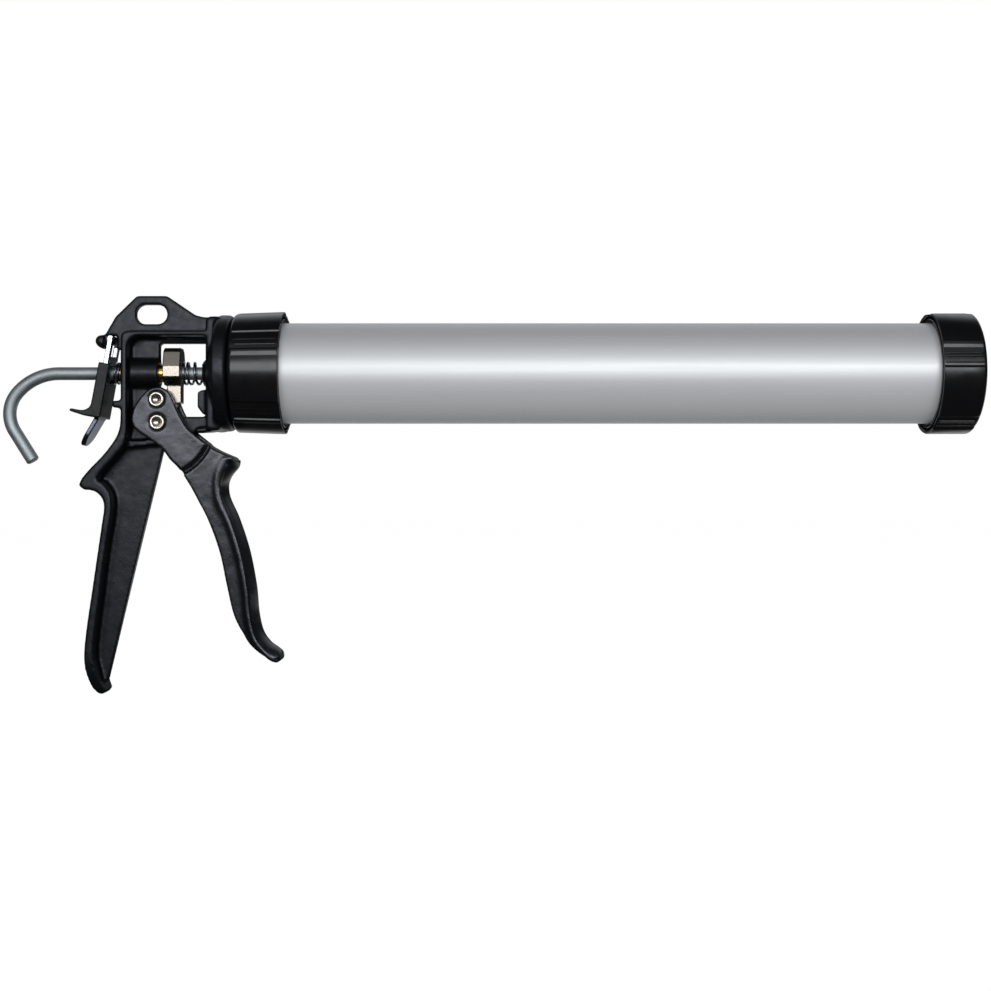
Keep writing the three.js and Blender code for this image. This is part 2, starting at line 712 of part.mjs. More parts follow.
function lockSpringSolid() {
  const { wire, turns } = lockSpring;
  const coverFace = lock.x + lock.coverFront / Math.cos(lock.tilt * degree) - lock.z * leanOf;
  const back = coverFace + (clearance + wire) * 1.1;
  const front = flange.back - clearance - wire;
  const place = (share) => [THREE.MathUtils.lerp(back, front, share), leanOf * (1 - share)];
  return swept(new Helix(lockSpringRadius, turns, place), wire, Math.round(turns * springSteps), springSides);
}

// ---------------------------------------------------------------- the lock plate, in its own tilted frame

const rodAlongPlate = -lock.z / Math.cos(lock.tilt * degree);

function lockPlate() {
  const halfThick = lock.thick / 2;
  const [windowTop, windowBottom, windowHalf] = lock.window;
  const upper = box([-halfThick, -lock.half, lock.bend], [halfThick, lock.half, lock.top]);
  const roundEnd = lock.tongueHalf - lock.tongueLength;
  const tongue = join(
    box([-halfThick, -lock.tongueHalf, roundEnd], [halfThick, lock.tongueHalf, 0.6]),
    barX(lock.tongueHalf, -halfThick, halfThick, 32).translate(0, 0, roundEnd),
  )
    .rotate([0, lock.tongueBend, 0])
    .translate(0, 0, lock.bend + 0.4);
  return cut(
    join(upper, tongue),
    box([-5, -windowHalf, windowBottom], [5, windowHalf, windowTop]),
    barX(rodBore + 0.3, -10, 10).translate(0, 0, rodAlongPlate),
  );
}

function lockCover() {
  const { coverFront, coverBack, coverTop, coverBottom, coverHalf } = lock;
  const shell = slab(
    [
      [coverFront, coverTop, 0.6], [coverBack, coverTop, 0.6], [coverBack, -34.0],
      ...curve([[coverBack - 0.1, -37.4], [coverBack - 1.0, -39.4], [-7.4, -41.2], [-13.6, -41.4]], 3),
      [-14.3, -42.2], [-13.8, -43.0], [-6.0, -44.0], [coverFront, coverBottom, 0.6],
    ],
    -coverHalf,
    coverHalf,
  );
  const halfThick = lock.thick / 2 + clearance;
  return cut(
    shell,
    box([-halfThick, -lock.half - clearance, -60], [halfThick, lock.half + clearance, 0]),
    barX(lock.coverHole, -10, 10).translate(0, 0, rodAlongPlate),
  );
}

// ---------------------------------------------------------------- the pull rod and piston

/** The rod's hook: its bends and then a straight tail, turning down from the rod's rear end. */
function hookPath() {
  const path = new THREE.CurvePath();
  let heading = 0; // degrees below -X
  let at = new THREE.Vector3(rod.hookStart, 0, 0);
  const ahead = () => new THREE.Vector3(-Math.cos(heading * degree), 0, -Math.sin(heading * degree));
  const inward = () => new THREE.Vector3(Math.sin(heading * degree), 0, -Math.cos(heading * degree));
  for (const [radius, sweep] of rod.hookBends) {
    const centre = at.clone().add(inward().multiplyScalar(radius));
    const from = heading;
    const bend = new THREE.Curve();
    bend.getPoint = (share, target = new THREE.Vector3()) => {
      const angle = (from + share * sweep) * degree;
      return target.set(centre.x - radius * Math.sin(angle), 0, centre.z + radius * Math.cos(angle));
    };
    path.add(bend);
    heading += sweep;
    at = bend.getPoint(1);
  }
  path.add(new THREE.LineCurve3(at, at.clone().add(ahead().multiplyScalar(rod.hookTail))));
  return path;
}

function pullRod() {
  const hook = swept(hookPath(), rod.radius, 20, 6);
  return join(barX(rod.radius, rod.hookStart - 0.05, rodFront), hook);
}

const cupBack = rodFront - piston.nutThick - piston.washerThick - 3 * clearance - piston.cupLength;
const cupFront = cupBack + piston.cupLength;
const cupRadius = barrel.outer - barrel.wall - 2 * clearance;

function pistonCup() {
  return turnedX(
    [
      [cupBack, rodBore], [cupBack, piston.hub], [cupFront - piston.cupFace, piston.hub],
      [cupFront - piston.cupFace, cupRadius - piston.cupWall], [cupBack, cupRadius - piston.cupWall],
      [cupBack, cupRadius], [cupFront - 1.5, cupRadius], [cupFront, cupRadius - 1.5], [cupFront, rodBore],
    ],
    48,
  );
}

function hexNut(x0) {
  const across = piston.nutFlats / 2 / Math.cos(30 * degree);
  return cut(barX(across, x0, x0 + piston.nutThick, 6), barX(rodBore, x0 - 1, x0 + piston.nutThick + 1, 24));
}

const backWasherStart = cupBack - clearance - piston.washerThick;
const frontWasherStart = cupFront + clearance;
const washer = (outer, x0) => tube(rodBore, outer, x0, x0 + piston.washerThick);
const frontNutStart = frontWasherStart + piston.washerThick + clearance;

// ---------------------------------------------------------------- the assembly

const finish = (color, roughness, metalness) => ({ color, roughness, metalness });
const blackCasting = finish(0x2b2e31, 0.5, 0.4);
const blackNylon = finish(0x17181a, 0.35, 0);
const zincSteel = finish(0xaab2b8, 0.3, 1);
const satinAluminium = finish(0xc4c6c8, 0.4, 1);
const sinteredSteel = finish(0xa89c92, 0.55, 0.9);
const brass = finish(0xc79a3f, 0.3, 1);
const paleNylon = finish(0xd8d6cc, 0.5, 0);

/** A named mesh of a solid, with its own material. */
function part(name, made, look) {
  const mesh = new THREE.Mesh(faces(made), new THREE.MeshStandardMaterial(look));
  mesh.name = name;
  return mesh;
}

const gun = new THREE.Group();
gun.name = "caulking_gun";

gun.add(
  part("frame_casting", frameCasting(), blackCasting),
  part("rear_rod_bush", tube(rodBore, bushRadius, rearBushBack, rearBushFront), brass),
  part("front_rod_bush", tube(rodBore, bushRadius, wall.bossBack + clearance, collar.endWall), brass),
  part("cap_retainer_plate", retainerPlate(), zincSteel),
);

screwPlaces.forEach(([y, z], i) => {
  const screw = part(`retainer_screw_${i + 1}`, retainerScrew(), zincSteel);
  screw.position.set(0, y, z);
  gun.add(screw);
});

gun.add(
  part("rear_cap", rearCap(), blackNylon),
  part("barrel_tube", barrelTube(), satinAluminium),
  part("front_cap", frontCapSolid(), blackNylon),
  part("nozzle_ring", nozzleRing(), paleNylon),
);

gun.add(
  part("trigger", triggerCasting(), blackCasting),
  part("trigger_pivot_rivet", rivetSolid(pivot), zincSteel),
  part("drive_rivet", rivetSolid(drivePin), zincSteel),
  part("drive_sleeve", driveSleeve(), zincSteel),
  part("drive_block", driveBlock(), sinteredSteel),
  part("drive_spring", driveSpringSolid(), zincSteel),
  part("lock_spring", lockSpringSolid(), zincSteel),
);

const lockGroup = new THREE.Group();
lockGroup.position.set(lock.x, 0, lock.z);
lockGroup.rotation.y = lock.tilt * degree;
lockGroup.add(part("lock_plate", lockPlate(), zincSteel), part("lock_cover", lockCover(), blackNylon));
gun.add(lockGroup);

gun.add(
  part("pull_rod", pullRod(), zincSteel),
  part("piston_back_nut", hexNut(backWasherStart - clearance - piston.nutThick), zincSteel),
  part("piston_back_washer", washer(piston.backWasher, backWasherStart), zincSteel),
  part("piston_cup", pistonCup(), paleNylon),
  part("piston_front_washer", washer(piston.frontWasher, frontWasherStart), zincSteel),
  part("piston_front_nut", hexNut(frontNutStart), zincSteel),
);

// The part's origin is the centre of the hanging slot.
gun.position.set(-slot.x, 0, -slot.z);
const assembly = new THREE.Group();
assembly.add(gun);

export default assembly;
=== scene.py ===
import math

import bmesh
import bpy
from mathutils import Matrix, Vector


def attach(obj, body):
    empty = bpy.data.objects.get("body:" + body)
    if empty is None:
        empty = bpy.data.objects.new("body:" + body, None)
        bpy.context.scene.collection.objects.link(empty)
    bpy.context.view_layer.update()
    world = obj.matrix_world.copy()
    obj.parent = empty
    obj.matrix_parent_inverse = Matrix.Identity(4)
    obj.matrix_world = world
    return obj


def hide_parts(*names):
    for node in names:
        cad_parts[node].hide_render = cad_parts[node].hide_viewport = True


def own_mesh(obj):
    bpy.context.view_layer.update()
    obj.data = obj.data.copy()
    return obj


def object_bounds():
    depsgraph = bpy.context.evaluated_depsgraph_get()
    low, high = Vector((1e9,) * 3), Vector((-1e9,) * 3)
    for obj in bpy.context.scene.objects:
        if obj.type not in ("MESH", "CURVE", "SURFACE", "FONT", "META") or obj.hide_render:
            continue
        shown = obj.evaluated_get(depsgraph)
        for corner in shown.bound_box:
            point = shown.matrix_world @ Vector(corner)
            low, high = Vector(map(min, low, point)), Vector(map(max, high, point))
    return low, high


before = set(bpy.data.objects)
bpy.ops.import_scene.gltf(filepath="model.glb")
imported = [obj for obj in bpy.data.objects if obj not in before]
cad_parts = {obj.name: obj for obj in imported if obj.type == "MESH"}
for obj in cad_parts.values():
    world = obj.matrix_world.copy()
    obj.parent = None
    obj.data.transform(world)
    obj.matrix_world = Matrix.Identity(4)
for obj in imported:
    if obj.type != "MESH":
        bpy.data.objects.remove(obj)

cad_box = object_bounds()

# Pieces are drawn in millimetres, with the pull rod's axis as X, +Z up and X = 0 at the seam between the
# frame's ring and the rear collar. TO_ROW takes them to the row frame, in metres from the hanging slot.
SLOT_AT = (-45.2, 31.8)
TO_ROW = Matrix.Translation((-SLOT_AT[0] / 1000, 0.0, -SLOT_AT[1] / 1000)) @ Matrix.Scale(0.001, 4)

CLEARANCE = 0.3
ROD_RADIUS = 3.5
ROD_BORE = ROD_RADIUS + CLEARANCE
BUSH_WALL = 0.95
WEB_HALF = 2.6
FLANGE_HALF = 14.0
FLANGE_BACK = -59.1
FLANGE_TOP = 21.8
WALL_INNER = -55.9  # inside of the rear wall
WALL_BACK = -14.1  # rear face of the front wall
BOSS_RADIUS = 8.0
BOSS_FRONT = -41.0
REAR_BUSH_FRONT = BOSS_FRONT + 2.6
SPRING_SEAT = -17.3  # rear end of the front wall's spring boss
RING_RADIUS = 31.3
SPIGOT_RADIUS = 12.0
PIVOT = (-40.5, -26.7)
PIVOT_BOSS = 6.5
DRIVE_PIN = (-40.8, -14.5)
FORK_HALF = 7.0  # inside half width of the trigger's fork
BARREL_OUTER = 27.0
BARREL_INNER = 25.5
BARREL_REAR = 9.3
BARREL_FRONT = BARREL_REAR + 381.0
COLLAR_RADIUS = 32.7
COLLAR_BORE = BARREL_OUTER + CLEARANCE
COLLAR_END = 4.3
ROD_FRONT = BARREL_FRONT - 6.3
BLOCK_BACK = REAR_BUSH_FRONT + CLEARANCE
BLOCK_FRONT = BLOCK_BACK + 9.2
LOCK_AT = (-65.4, 19.0)  # where the lock plate hangs
LOCK_TILT = math.radians(10.5)
PLATE_HALF_THICK = 1.25
COVER_FRONT = 2.6  # from the plate's middle to the cover's front face
ROD_ALONG_PLATE = -LOCK_AT[1] / math.cos(LOCK_TILT)

# ---------------------------------------------------------------- outlines


def rounded(corners, arc_step=8.0):
    """Corners (x, z) or (x, z, radius) as outline points; a corner with a radius becomes a tangent arc."""
    points = []
    for i, (x, z, *radius) in enumerate(corners):
        here = Vector((x, z))
        if not radius:
            points.append(here)
            continue
        before = (Vector(corners[i - 1][:2]) - here).normalized()
        after = (Vector(corners[(i + 1) % len(corners)][:2]) - here).normalized()
        half = math.acos(max(-1.0, min(1.0, before.dot(after)))) / 2
        centre = here + (before + after).normalized() * (radius[0] / math.sin(half))
        start = here + before * (radius[0] / math.tan(half)) - centre
        end = here + after * (radius[0] / math.tan(half)) - centre
        first = math.atan2(start.y, start.x)
        sweep = (math.atan2(end.y, end.x) - first + math.pi) % (2 * math.pi) - math.pi
        steps = max(2, math.ceil(abs(math.degrees(sweep)) / arc_step))
        for k in range(steps + 1):
            angle = first + sweep * k / steps
            points.append(centre + Vector((math.cos(angle), math.sin(angle))) * radius[0])
    return points


def curve(points, steps=10):
    """A smooth curve through (x, z) points, as outline corners."""
    last = len(points) - 1
    made = []
    for k in range(steps * last + 1):
        i = min(k // steps, last - 1)
        t = k / steps - i
        p0, p1, p2, p3 = (Vector(points[max(0, min(last, i + j))]) for j in (-1, 0, 1, 2))
        v0, v1 = (p2 - p0) / 2, (p3 - p1) / 2
        point = (2 * p1 - 2 * p2 + v0 + v1) * t**3 + (3 * p2 - 3 * p1 - 2 * v0 - v1) * t**2 + v0 * t + p1
        made.append((point.x, point.y))
    return made


def arc(centre, radius, start, end, steps=24):
    """Points on an arc, its angles in degrees from +X towards +Z."""
    angles = (math.radians(start + (end - start) * k / steps) for k in range(steps + 1))
    return [(centre[0] + radius * math.cos(a), centre[1] + radius * math.sin(a)) for a in angles]


def turn(sides):
    return [2 * math.pi * k / sides for k in range(sides)]


def quarter(steps):
    """Angles from 0 to 90 degrees."""
    return [math.radians(90 * k / steps) for k in range(steps + 1)]


# ---------------------------------------------------------------- solids


class Solid:
    """Closed shells in one bmesh. They may overlap until carved() merges them."""

    def __init__(self):
        self.bm = bmesh.new()

    def loops(self, rings, closed=False):
        """Skins rings of points, and caps the ends unless the last ring joins the first."""
        made = [[self.bm.verts.new(point) for point in ring] for ring in rings]
        pairs = list(zip(made, made[1:])) + ([(made[-1], made[0])] if closed else [])
        for a, b in pairs:
            for k in range(len(a)):
                self.bm.faces.new((a[k], a[k - 1], b[k - 1], b[k]))
        if not closed:
            self.bm.faces.new(made[0])
            self.bm.faces.new(made[-1][::-1])
        return self

    def slab(self, corners, y0, y1):
        """An outline in X and Z, from Y = y0 to Y = y1."""
        outline = rounded(corners)
        return self.loops([[(x, y, z) for x, z in outline] for y in (y0, y1)])

    def along_x(self, half, x0, x1):
        """Half an outline of (y, z) corners and its mirror image, from X = x0 to X = x1."""
        whole = [*half, *[(-y, z) for y, z in reversed(half)]]
        return self.loops([[(x, y, z) for y, z in whole] for x in (x0, x1)])

    def box(self, low, high):
        (x0, y0, z0), (x1, y1, z1) = low, high
        return self.slab([(x0, z0), (x1, z0), (x1, z1), (x0, z1)], y0, y1)

    def bar_y(self, radius, at, y0, y1, sides=64):
        circle = [(at[0] + radius * math.cos(a), at[1] + radius * math.sin(a)) for a in turn(sides)]
        return self.slab(circle, y0, y1)

    def turned(self, profile, sides=96, closed=False):
        """A profile of (x, radius) turned about the X axis; closed joins its end to its start."""
        rings = [[(x, r * math.sin(a), r * math.cos(a)) for a in turn(sides)] for x, r in profile]
        return self.loops(rings, closed)

    def bar_x(self, radius, x0, x1, sides=64):
        return self.turned([(x0, radius), (x1, radius)], sides)

    def add(self, other):
        mesh = bpy.data.meshes.new("added")
        other.bm.to_mesh(mesh)
        self.bm.from_mesh(mesh)
        bpy.data.meshes.remove(mesh)
        return self

    def moved(self, matrix):
        bmesh.ops.transform(self.bm, matrix=matrix, verts=self.bm.verts)
        return self

    def object(self, name):
        bmesh.ops.remove_doubles(self.bm, verts=self.bm.verts, dist=1e-4)
        bmesh.ops.recalc_face_normals(self.bm, faces=self.bm.faces)
        mesh = bpy.data.meshes.new(name)
        self.bm.to_mesh(mesh)
        self.bm.free()
        made = bpy.data.objects.new(name, mesh)
        bpy.context.scene.collection.objects.link(made)
        return made


def settle(obj):
    """The object's modifiers made part of its mesh and removed."""
    bpy.context.view_layer.update()
    depsgraph = bpy.context.evaluated_depsgraph_get()
    mesh = bpy.data.meshes.new_from_object(obj.evaluated_get(depsgraph), depsgraph=depsgraph)
    obj.modifiers.clear()
    old, obj.data = obj.data, mesh
    bpy.data.meshes.remove(old)
    return obj


def discard(obj):
    mesh = obj.data
    bpy.data.objects.remove(obj)
    bpy.data.meshes.remove(mesh)


def cut_object(obj, tools, operation="DIFFERENCE"):
    """The tools taken away from an object, or with INTERSECT what it shares with them."""
    cutter = tools.object("tools")
    cut = obj.modifiers.new("cut", "BOOLEAN")
    cut.operation, cut.solver, cut.use_self, cut.object = operation, "EXACT", True, cutter
    settle(obj)
    discard(cutter)
    return obj


def as_solid(obj):
    """A Solid of the object's mesh; the object is removed."""
    made = Solid()
    made.bm.from_mesh(obj.data)
    discard(obj)
    return made


def combined(first, second, operation):
    """A Solid of the first less the second, or of what they share."""
    return as_solid(cut_object(first.object("first"), second, operation))


def eased(solid, width):
    """The Solid with every edge that turns by more than 50 degrees rounded off."""
    obj = solid.object("eased")
    bevel = obj.modifiers.new("bevel", "BEVEL")
    bevel.width, bevel.segments = width, 3
    bevel.limit_method, bevel.angle_limit = "ANGLE", math.radians(50)
    return as_solid(settle(obj))


def carved(name, whole, tools, voxel, softening):
    """The union of whole's shells less the tools, with the soft edges and fillets of a casting."""
    obj = cut_object(whole.object(name), tools)
    remesh = obj.modifiers.new("remesh", "REMESH")
    remesh.mode, remesh.voxel_size, remesh.adaptivity = "VOXEL", voxel, 0.0
    soften = obj.modifiers.new("soften", "SMOOTH")
    soften.factor, soften.iterations = 0.5, softening
    return settle(obj)


def tube(x0, x1, inner, outer, inner_edge, outer_edge, sides):
    """A tube along X with its edges broken."""
    return Solid().turned(
        [(x0 + inner_edge, inner), (x0, inner + inner_edge), (x0, outer - outer_edge),
         (x0 + outer_edge, outer), (x1 - outer_edge, outer), (x1, outer - outer_edge),
         (x1, inner + inner_edge), (x1 - inner_edge, inner)],
        sides, closed=True,
    )


def piece(obj, material, body, replaced, sharp=None):
    """Takes a finished piece to the row frame, gives it its material and ties it to its body."""
    obj.data.transform(TO_ROW)
    obj.data.materials.clear()
    obj.data.materials.append(material)
    obj.data.shade_smooth()
    if sharp:
        obj.data.set_sharp_from_angle(angle=math.radians(sharp))
    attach(obj, body)
    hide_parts(*replaced)


# ---------------------------------------------------------------- node trees


class Nodes:
    """A node tree being built. Values given to its nodes are numbers, colours or other nodes' sockets."""

    def __init__(self, tree):
        self.tree = tree

    def node(self, kind, links, output=0, **settings):
        """A new node with its inputs linked or set; gives one of its outputs."""
        made = self.tree.nodes.new(kind)
        for key, value in settings.items():
            setattr(made, key, value)
        for key, value in links.items():
            if isinstance(value, bpy.types.NodeSocket):
                self.tree.links.new(value, made.inputs[key])
            else:
                made.inputs[key].default_value = value
        return made.outputs[output]

    def math(self, operation, *values):
        return self.node("ShaderNodeMath", dict(enumerate(values)), operation=operation)

    def ranged(self, value, to_low, to_high, low=0.3, high=0.7, **settings):
        """A value taken from the range low to high to the range to_low to to_high."""
        links = {"Value": value, "From Min": low, "From Max": high, "To Min": to_low, "To Max": to_high}
        return self.node("ShaderNodeMapRange", links, "Result", **settings)

    def between(self, share, first, second):
        """A colour from first to second by share; a colour is three numbers or a socket."""
        links = {0: share}
        for socket, colour in ((6, first), (7, second)):
            links[socket] = colour if isinstance(colour, bpy.types.NodeSocket) else (*colour, 1.0)
        return self.node("ShaderNodeMix", links, 2, data_type="RGBA")

    def part(self, vector, axis):
        """The X, Y or Z of a vector."""
        return self.node("ShaderNodeSeparateXYZ", {0: vector}, axis)


# ---------------------------------------------------------------- patterns made by geometry nodes


class Pattern(Nodes):
    """A geometry node tree with named number inputs. made() runs it on an object and leaves a plain mesh."""

    def __init__(self, name, **sizes):
        super().__init__(bpy.data.node_groups.new(name, "GeometryNodeTree"))
        self.name, self.sizes = name, sizes
        sockets = self.tree.interface
        sockets.new_socket("Geometry", in_out="INPUT", socket_type="NodeSocketGeometry")
        for key, value in sizes.items():
            kind = "NodeSocketInt" if isinstance(value, int) else "NodeSocketFloat"
            sockets.new_socket(key.replace("_", " "), in_out="INPUT", socket_type=kind)
        sockets.new_socket("Geometry", in_out="OUTPUT", socket_type="NodeSocketGeometry")
        self.given = self.tree.nodes.new("NodeGroupInput").outputs

    def vector(self, x=0.0, y=0.0, z=0.0):
        return self.node("ShaderNodeCombineXYZ", {"X": x, "Y": y, "Z": z})

    def made(self, geometry, material, obj=None):
        real = self.node("GeometryNodeRealizeInstances", {"Geometry": geometry})
        done = self.node("GeometryNodeSetMaterial", {"Geometry": real, "Material": material})
        self.tree.links.new(done, self.tree.nodes.new("NodeGroupOutput").inputs["Geometry"])
        obj = obj or Solid().object(self.name)
        pattern = obj.modifiers.new(self.name, "NODES")
        pattern.node_group = self.tree
        for item in self.tree.interface.items_tree:
            key = item.name.replace(" ", "_")
            if item.in_out == "INPUT" and key in self.sizes:
                pattern[item.identifier] = self.sizes[key]
        return settle(obj)


def wire_spring(name, back, front, radius, wire, turns, closed_turns, closed_length, lean=0.0, hand=1.0):
    """A helix of round wire along X.

    Its first closed_turns take up only closed_length. Its rear end leans like the face it bears on, and
    a hand of -1 winds it the other way.
    """
    rule = Pattern(name, Back=back, Front=front, Radius=radius, Wire=wire, Turns=turns,
                   Closed_Turns=closed_turns, Closed_Length=closed_length, Lean=lean, Hand=hand)
    given = rule.given
    stations, sides = 420, 16
    line = rule.node("GeometryNodeCurvePrimitiveLine", {"Start": (0, 0, 0), "End": (1, 0, 0)})
    line = rule.node("GeometryNodeResampleCurve", {"Curve": line, "Count": stations})
    share = rule.node("GeometryNodeSplineParameter", {})
    at_turn = rule.math("MULTIPLY", share, given["Turns"])
    angle = rule.math("MULTIPLY", at_turn, 2 * math.pi)
    closed_end = rule.math("ADD", given["Back"], given["Closed Length"])
    open_length = rule.math("SUBTRACT", given["Front"], closed_end)
    in_closed = rule.ranged(at_turn, given["Back"], closed_end, 0.0, given["Closed Turns"])
    in_open = rule.ranged(at_turn, 0.0, open_length, given["Closed Turns"], given["Turns"])
    up = rule.math("MULTIPLY", given["Radius"], rule.math("COSINE", angle))
    handed = rule.math("MULTIPLY", angle, given["Hand"])
    across = rule.math("MULTIPLY", given["Radius"], rule.math("SINE", handed))
    lean_here = rule.math("MULTIPLY", given["Lean"], rule.math("SUBTRACT", 1.0, share))
    upright = rule.math("ADD", in_closed, in_open)
    along = rule.math("ADD", upright, rule.math("MULTIPLY", lean_here, up))
    places = rule.vector(along, across, up)
    helix = rule.node("GeometryNodeSetPosition", {"Geometry": line, "Position": places})
    section = {"Resolution": sides, "Radius": given["Wire"]}
    section = rule.node("GeometryNodeCurvePrimitiveCircle", section, mode="RADIUS")
    coil = {"Curve": helix, "Profile Curve": section, "Fill Caps": True}
    return rule.made(rule.node("GeometryNodeCurveToMesh", coil), SPRING_ZINC)


def round_the_axis(name, single, material, groups, in_group, first, step):
    """Copies of a solid turned about the X axis: groups spread evenly, with in_group copies a step apart."""
    rule = Pattern(name, Groups=groups, In_Group=in_group,
                   First_Angle=math.radians(first), Step=math.radians(step))
    given = rule.given
    count = rule.math("MULTIPLY", given["Groups"], given["In Group"])
    points = rule.node("GeometryNodePoints", {"Count": count})
    index = rule.node("GeometryNodeInputIndex", {})
    group = rule.math("FLOOR", rule.math("DIVIDE", index, given["In Group"]))
    member = rule.math("SUBTRACT", index, rule.math("MULTIPLY", group, given["In Group"]))
    per_group = rule.math("DIVIDE", 2 * math.pi, given["Groups"])
    angle = rule.math("MULTIPLY_ADD", group, per_group, given["First Angle"])
    angle = rule.math("MULTIPLY_ADD", member, given["Step"], angle)
    spread = rule.node(
        "GeometryNodeInstanceOnPoints",
        {"Points": points, "Instance": given["Geometry"], "Rotation": rule.vector(x=angle)},
    )
    return rule.made(spread, material, single.object(name))


# ---------------------------------------------------------------- materials


class Finish(Nodes):
    """A node material that reads Object coordinates, in metres."""

    def __init__(self, name, **constants):
        self.material = bpy.data.materials.new(name)
        self.material.use_nodes = True
        super().__init__(self.material.node_tree)
        self.shader = self.tree.nodes["Principled BSDF"]
        for key, value in constants.items():
            self.shader.inputs[key.replace("_", " ")].default_value = value
        self.place = self.node("ShaderNodeTexCoord", {}, "Object")

    def stretched(self, x, y, z):
        """Object coordinates scaled on each axis, for a grain with a direction."""
        return self.node("ShaderNodeMapping", {"Vector": self.place, "Scale": (x, y, z)})

    def noise(self, size, detail=3.0, place=None):
        """Noise from 0 to 1, in blotches about size metres across."""
        links = {"Vector": place or self.place, "Scale": 1.0 / size, "Detail": detail, "Roughness": 0.5}
        return self.node("ShaderNodeTexNoise", links, "Fac")

    def bump(self, height, depth, under=None):
        links = {"Height": height, "Distance": depth, "Strength": 1.0}
        if under:
            links["Normal"] = under
        return self.node("ShaderNodeBump", links, "Normal")

    def made(self, colour, roughness, relief):
        self.tree.links.new(colour, self.shader.inputs["Base Color"])
        self.tree.links.new(roughness, self.shader.inputs["Roughness"])
        self.tree.links.new(relief, self.shader.inputs["Normal"])
        return self.material


def powder_coat(name, index, smoothest, roughest):
    """Satin black powder coat on a die casting: orange peel over a slightly wavy skin, its sharp edges
    painted paler, partly as wear and partly as a painted highlight.
    """
    paint = Finish(name, Metallic=0.0, IOR=index, Specular_Tint=(0.88, 0.90, 1.0, 1.0))
    pointed = paint.node("ShaderNodeNewGeometry", {}, "Pointiness")
    # Sharp edges, found by pointiness, painted paler: wear, and a painted highlight along them.
    edge_wear_and_highlight = paint.ranged(pointed, 0.0, 0.5, 0.52, 0.62)
    colour = paint.between(paint.noise(0.012), (0.0024, 0.0026, 0.003), (0.0045, 0.005, 0.006))
    colour = paint.between(edge_wear_and_highlight, colour, (0.013, 0.014, 0.015))
    wavy = paint.bump(paint.noise(0.011, 2.0), 0.0003)
    peel = paint.bump(paint.noise(0.0011, 2.0), 0.00003, wavy)
    return paint.made(colour, paint.ranged(paint.noise(0.004), smoothest, roughest), peel)


def gloss_nylon():
    """Moulded black nylon, semi-gloss."""
    nylon = Finish("black_nylon", Metallic=0.0, IOR=1.46)
    colour = nylon.between(nylon.noise(0.02), (0.0032, 0.0032, 0.0036), (0.0055, 0.0055, 0.0062))
    skin = nylon.bump(nylon.noise(0.0012, 2.0), 0.000012)
    return nylon.made(colour, nylon.ranged(nylon.noise(0.006), 0.19, 0.26), skin)


def matt_nylon():
    """The lock plate's black plastic cover, with a fine moulded texture."""
    nylon = Finish("matt_nylon", Metallic=0.0, IOR=1.33)
    colour = nylon.between(nylon.noise(0.008), (0.004, 0.0042, 0.0046), (0.007, 0.0072, 0.008))
    skin = nylon.bump(nylon.noise(0.0007, 2.0), 0.00002)
    return nylon.made(colour, nylon.ranged(nylon.noise(0.003), 0.32, 0.40), skin)


def natural_nylon():
    nylon = Finish("natural_nylon", Metallic=0.0, IOR=1.5)
    colour = nylon.between(nylon.noise(0.01), (0.62, 0.60, 0.54), (0.70, 0.69, 0.64))
    skin = nylon.bump(nylon.noise(0.0009, 2.0), 0.00001)
    return nylon.made(colour, nylon.ranged(nylon.noise(0.004), 0.38, 0.5), skin)


def zinc_plate(name, dull, bright, roughness):
    """Zinc plate, with drawing lines along the rod and faint clouding."""
    plate = Finish(name, Metallic=1.0)
    lines = plate.noise(0.0006, 2.0, plate.stretched(0.02, 1.0, 1.0))
    clouds = plate.noise(0.007)
    colour = plate.between(clouds, dull, bright)
    return plate.made(colour, plate.ranged(clouds, roughness, roughness + 0.08), plate.bump(lines, 0.00001))


def anodised_tube():
    """Satin anodised aluminium: finely speckled, with faint extrusion lines along it."""
    skin = Finish("anodised_aluminium", Metallic=0.4)
    speckle = skin.noise(0.0005, 2.0)
    lines = skin.noise(0.0016, 3.0, skin.stretched(0.01, 1.0, 1.0))
    colour = skin.between(speckle, (0.650, 0.657, 0.665), (0.690, 0.697, 0.703))
    relief = skin.bump(speckle, 0.000008, skin.bump(lines, 0.000008))
    return skin.made(colour, skin.ranged(lines, 0.42, 0.48), relief)


def stamped_plate():
    """The lock plate: its upper side edges painted bright as a highlight; the rest under a darker, bluish
    film, the plating's own tint darkened as painted shade.
    """
    plate = Finish("stamped_zinc_plate", Metallic=1.0)
    facing = plate.part(plate.node("ShaderNodeTexCoord", {}, "Normal"), "Y")
    # Painted highlight: faces turned to the sides, on the plate's upper part, painted bright zinc.
    facing_sideways = plate.ranged(plate.math("ABSOLUTE", facing), 0.0, 1.0, 0.45, 0.75)
    above = plate.ranged(plate.part(plate.place, "Z"), 0.0, 1.0, -0.056, -0.046)
    edge = plate.math("MULTIPLY", facing_sideways, above)
    clouds = plate.noise(0.005)
    # The plating's own bluish tint, kept dark as painted shade on the faces turned along the rod.
    film = plate.between(clouds, (0.065, 0.125, 0.15), (0.13, 0.10, 0.16))
    colour = plate.between(edge, film, (0.56, 0.60, 0.63))
    return plate.made(colour, plate.ranged(clouds, 0.24, 0.32), plate.bump(plate.noise(0.0009), 0.00001))


def sintered_steel():
    """Pressed and sintered steel: warm grey, open-grained, faintly mottled."""
    metal = Finish("sintered_steel", Metallic=1.0)
    grain = metal.noise(0.0005)
    colour = metal.between(metal.noise(0.0015), (0.27, 0.24, 0.205), (0.33, 0.295, 0.26))
    return metal.made(colour, metal.ranged(grain, 0.22, 0.32), metal.bump(grain, 0.00001))


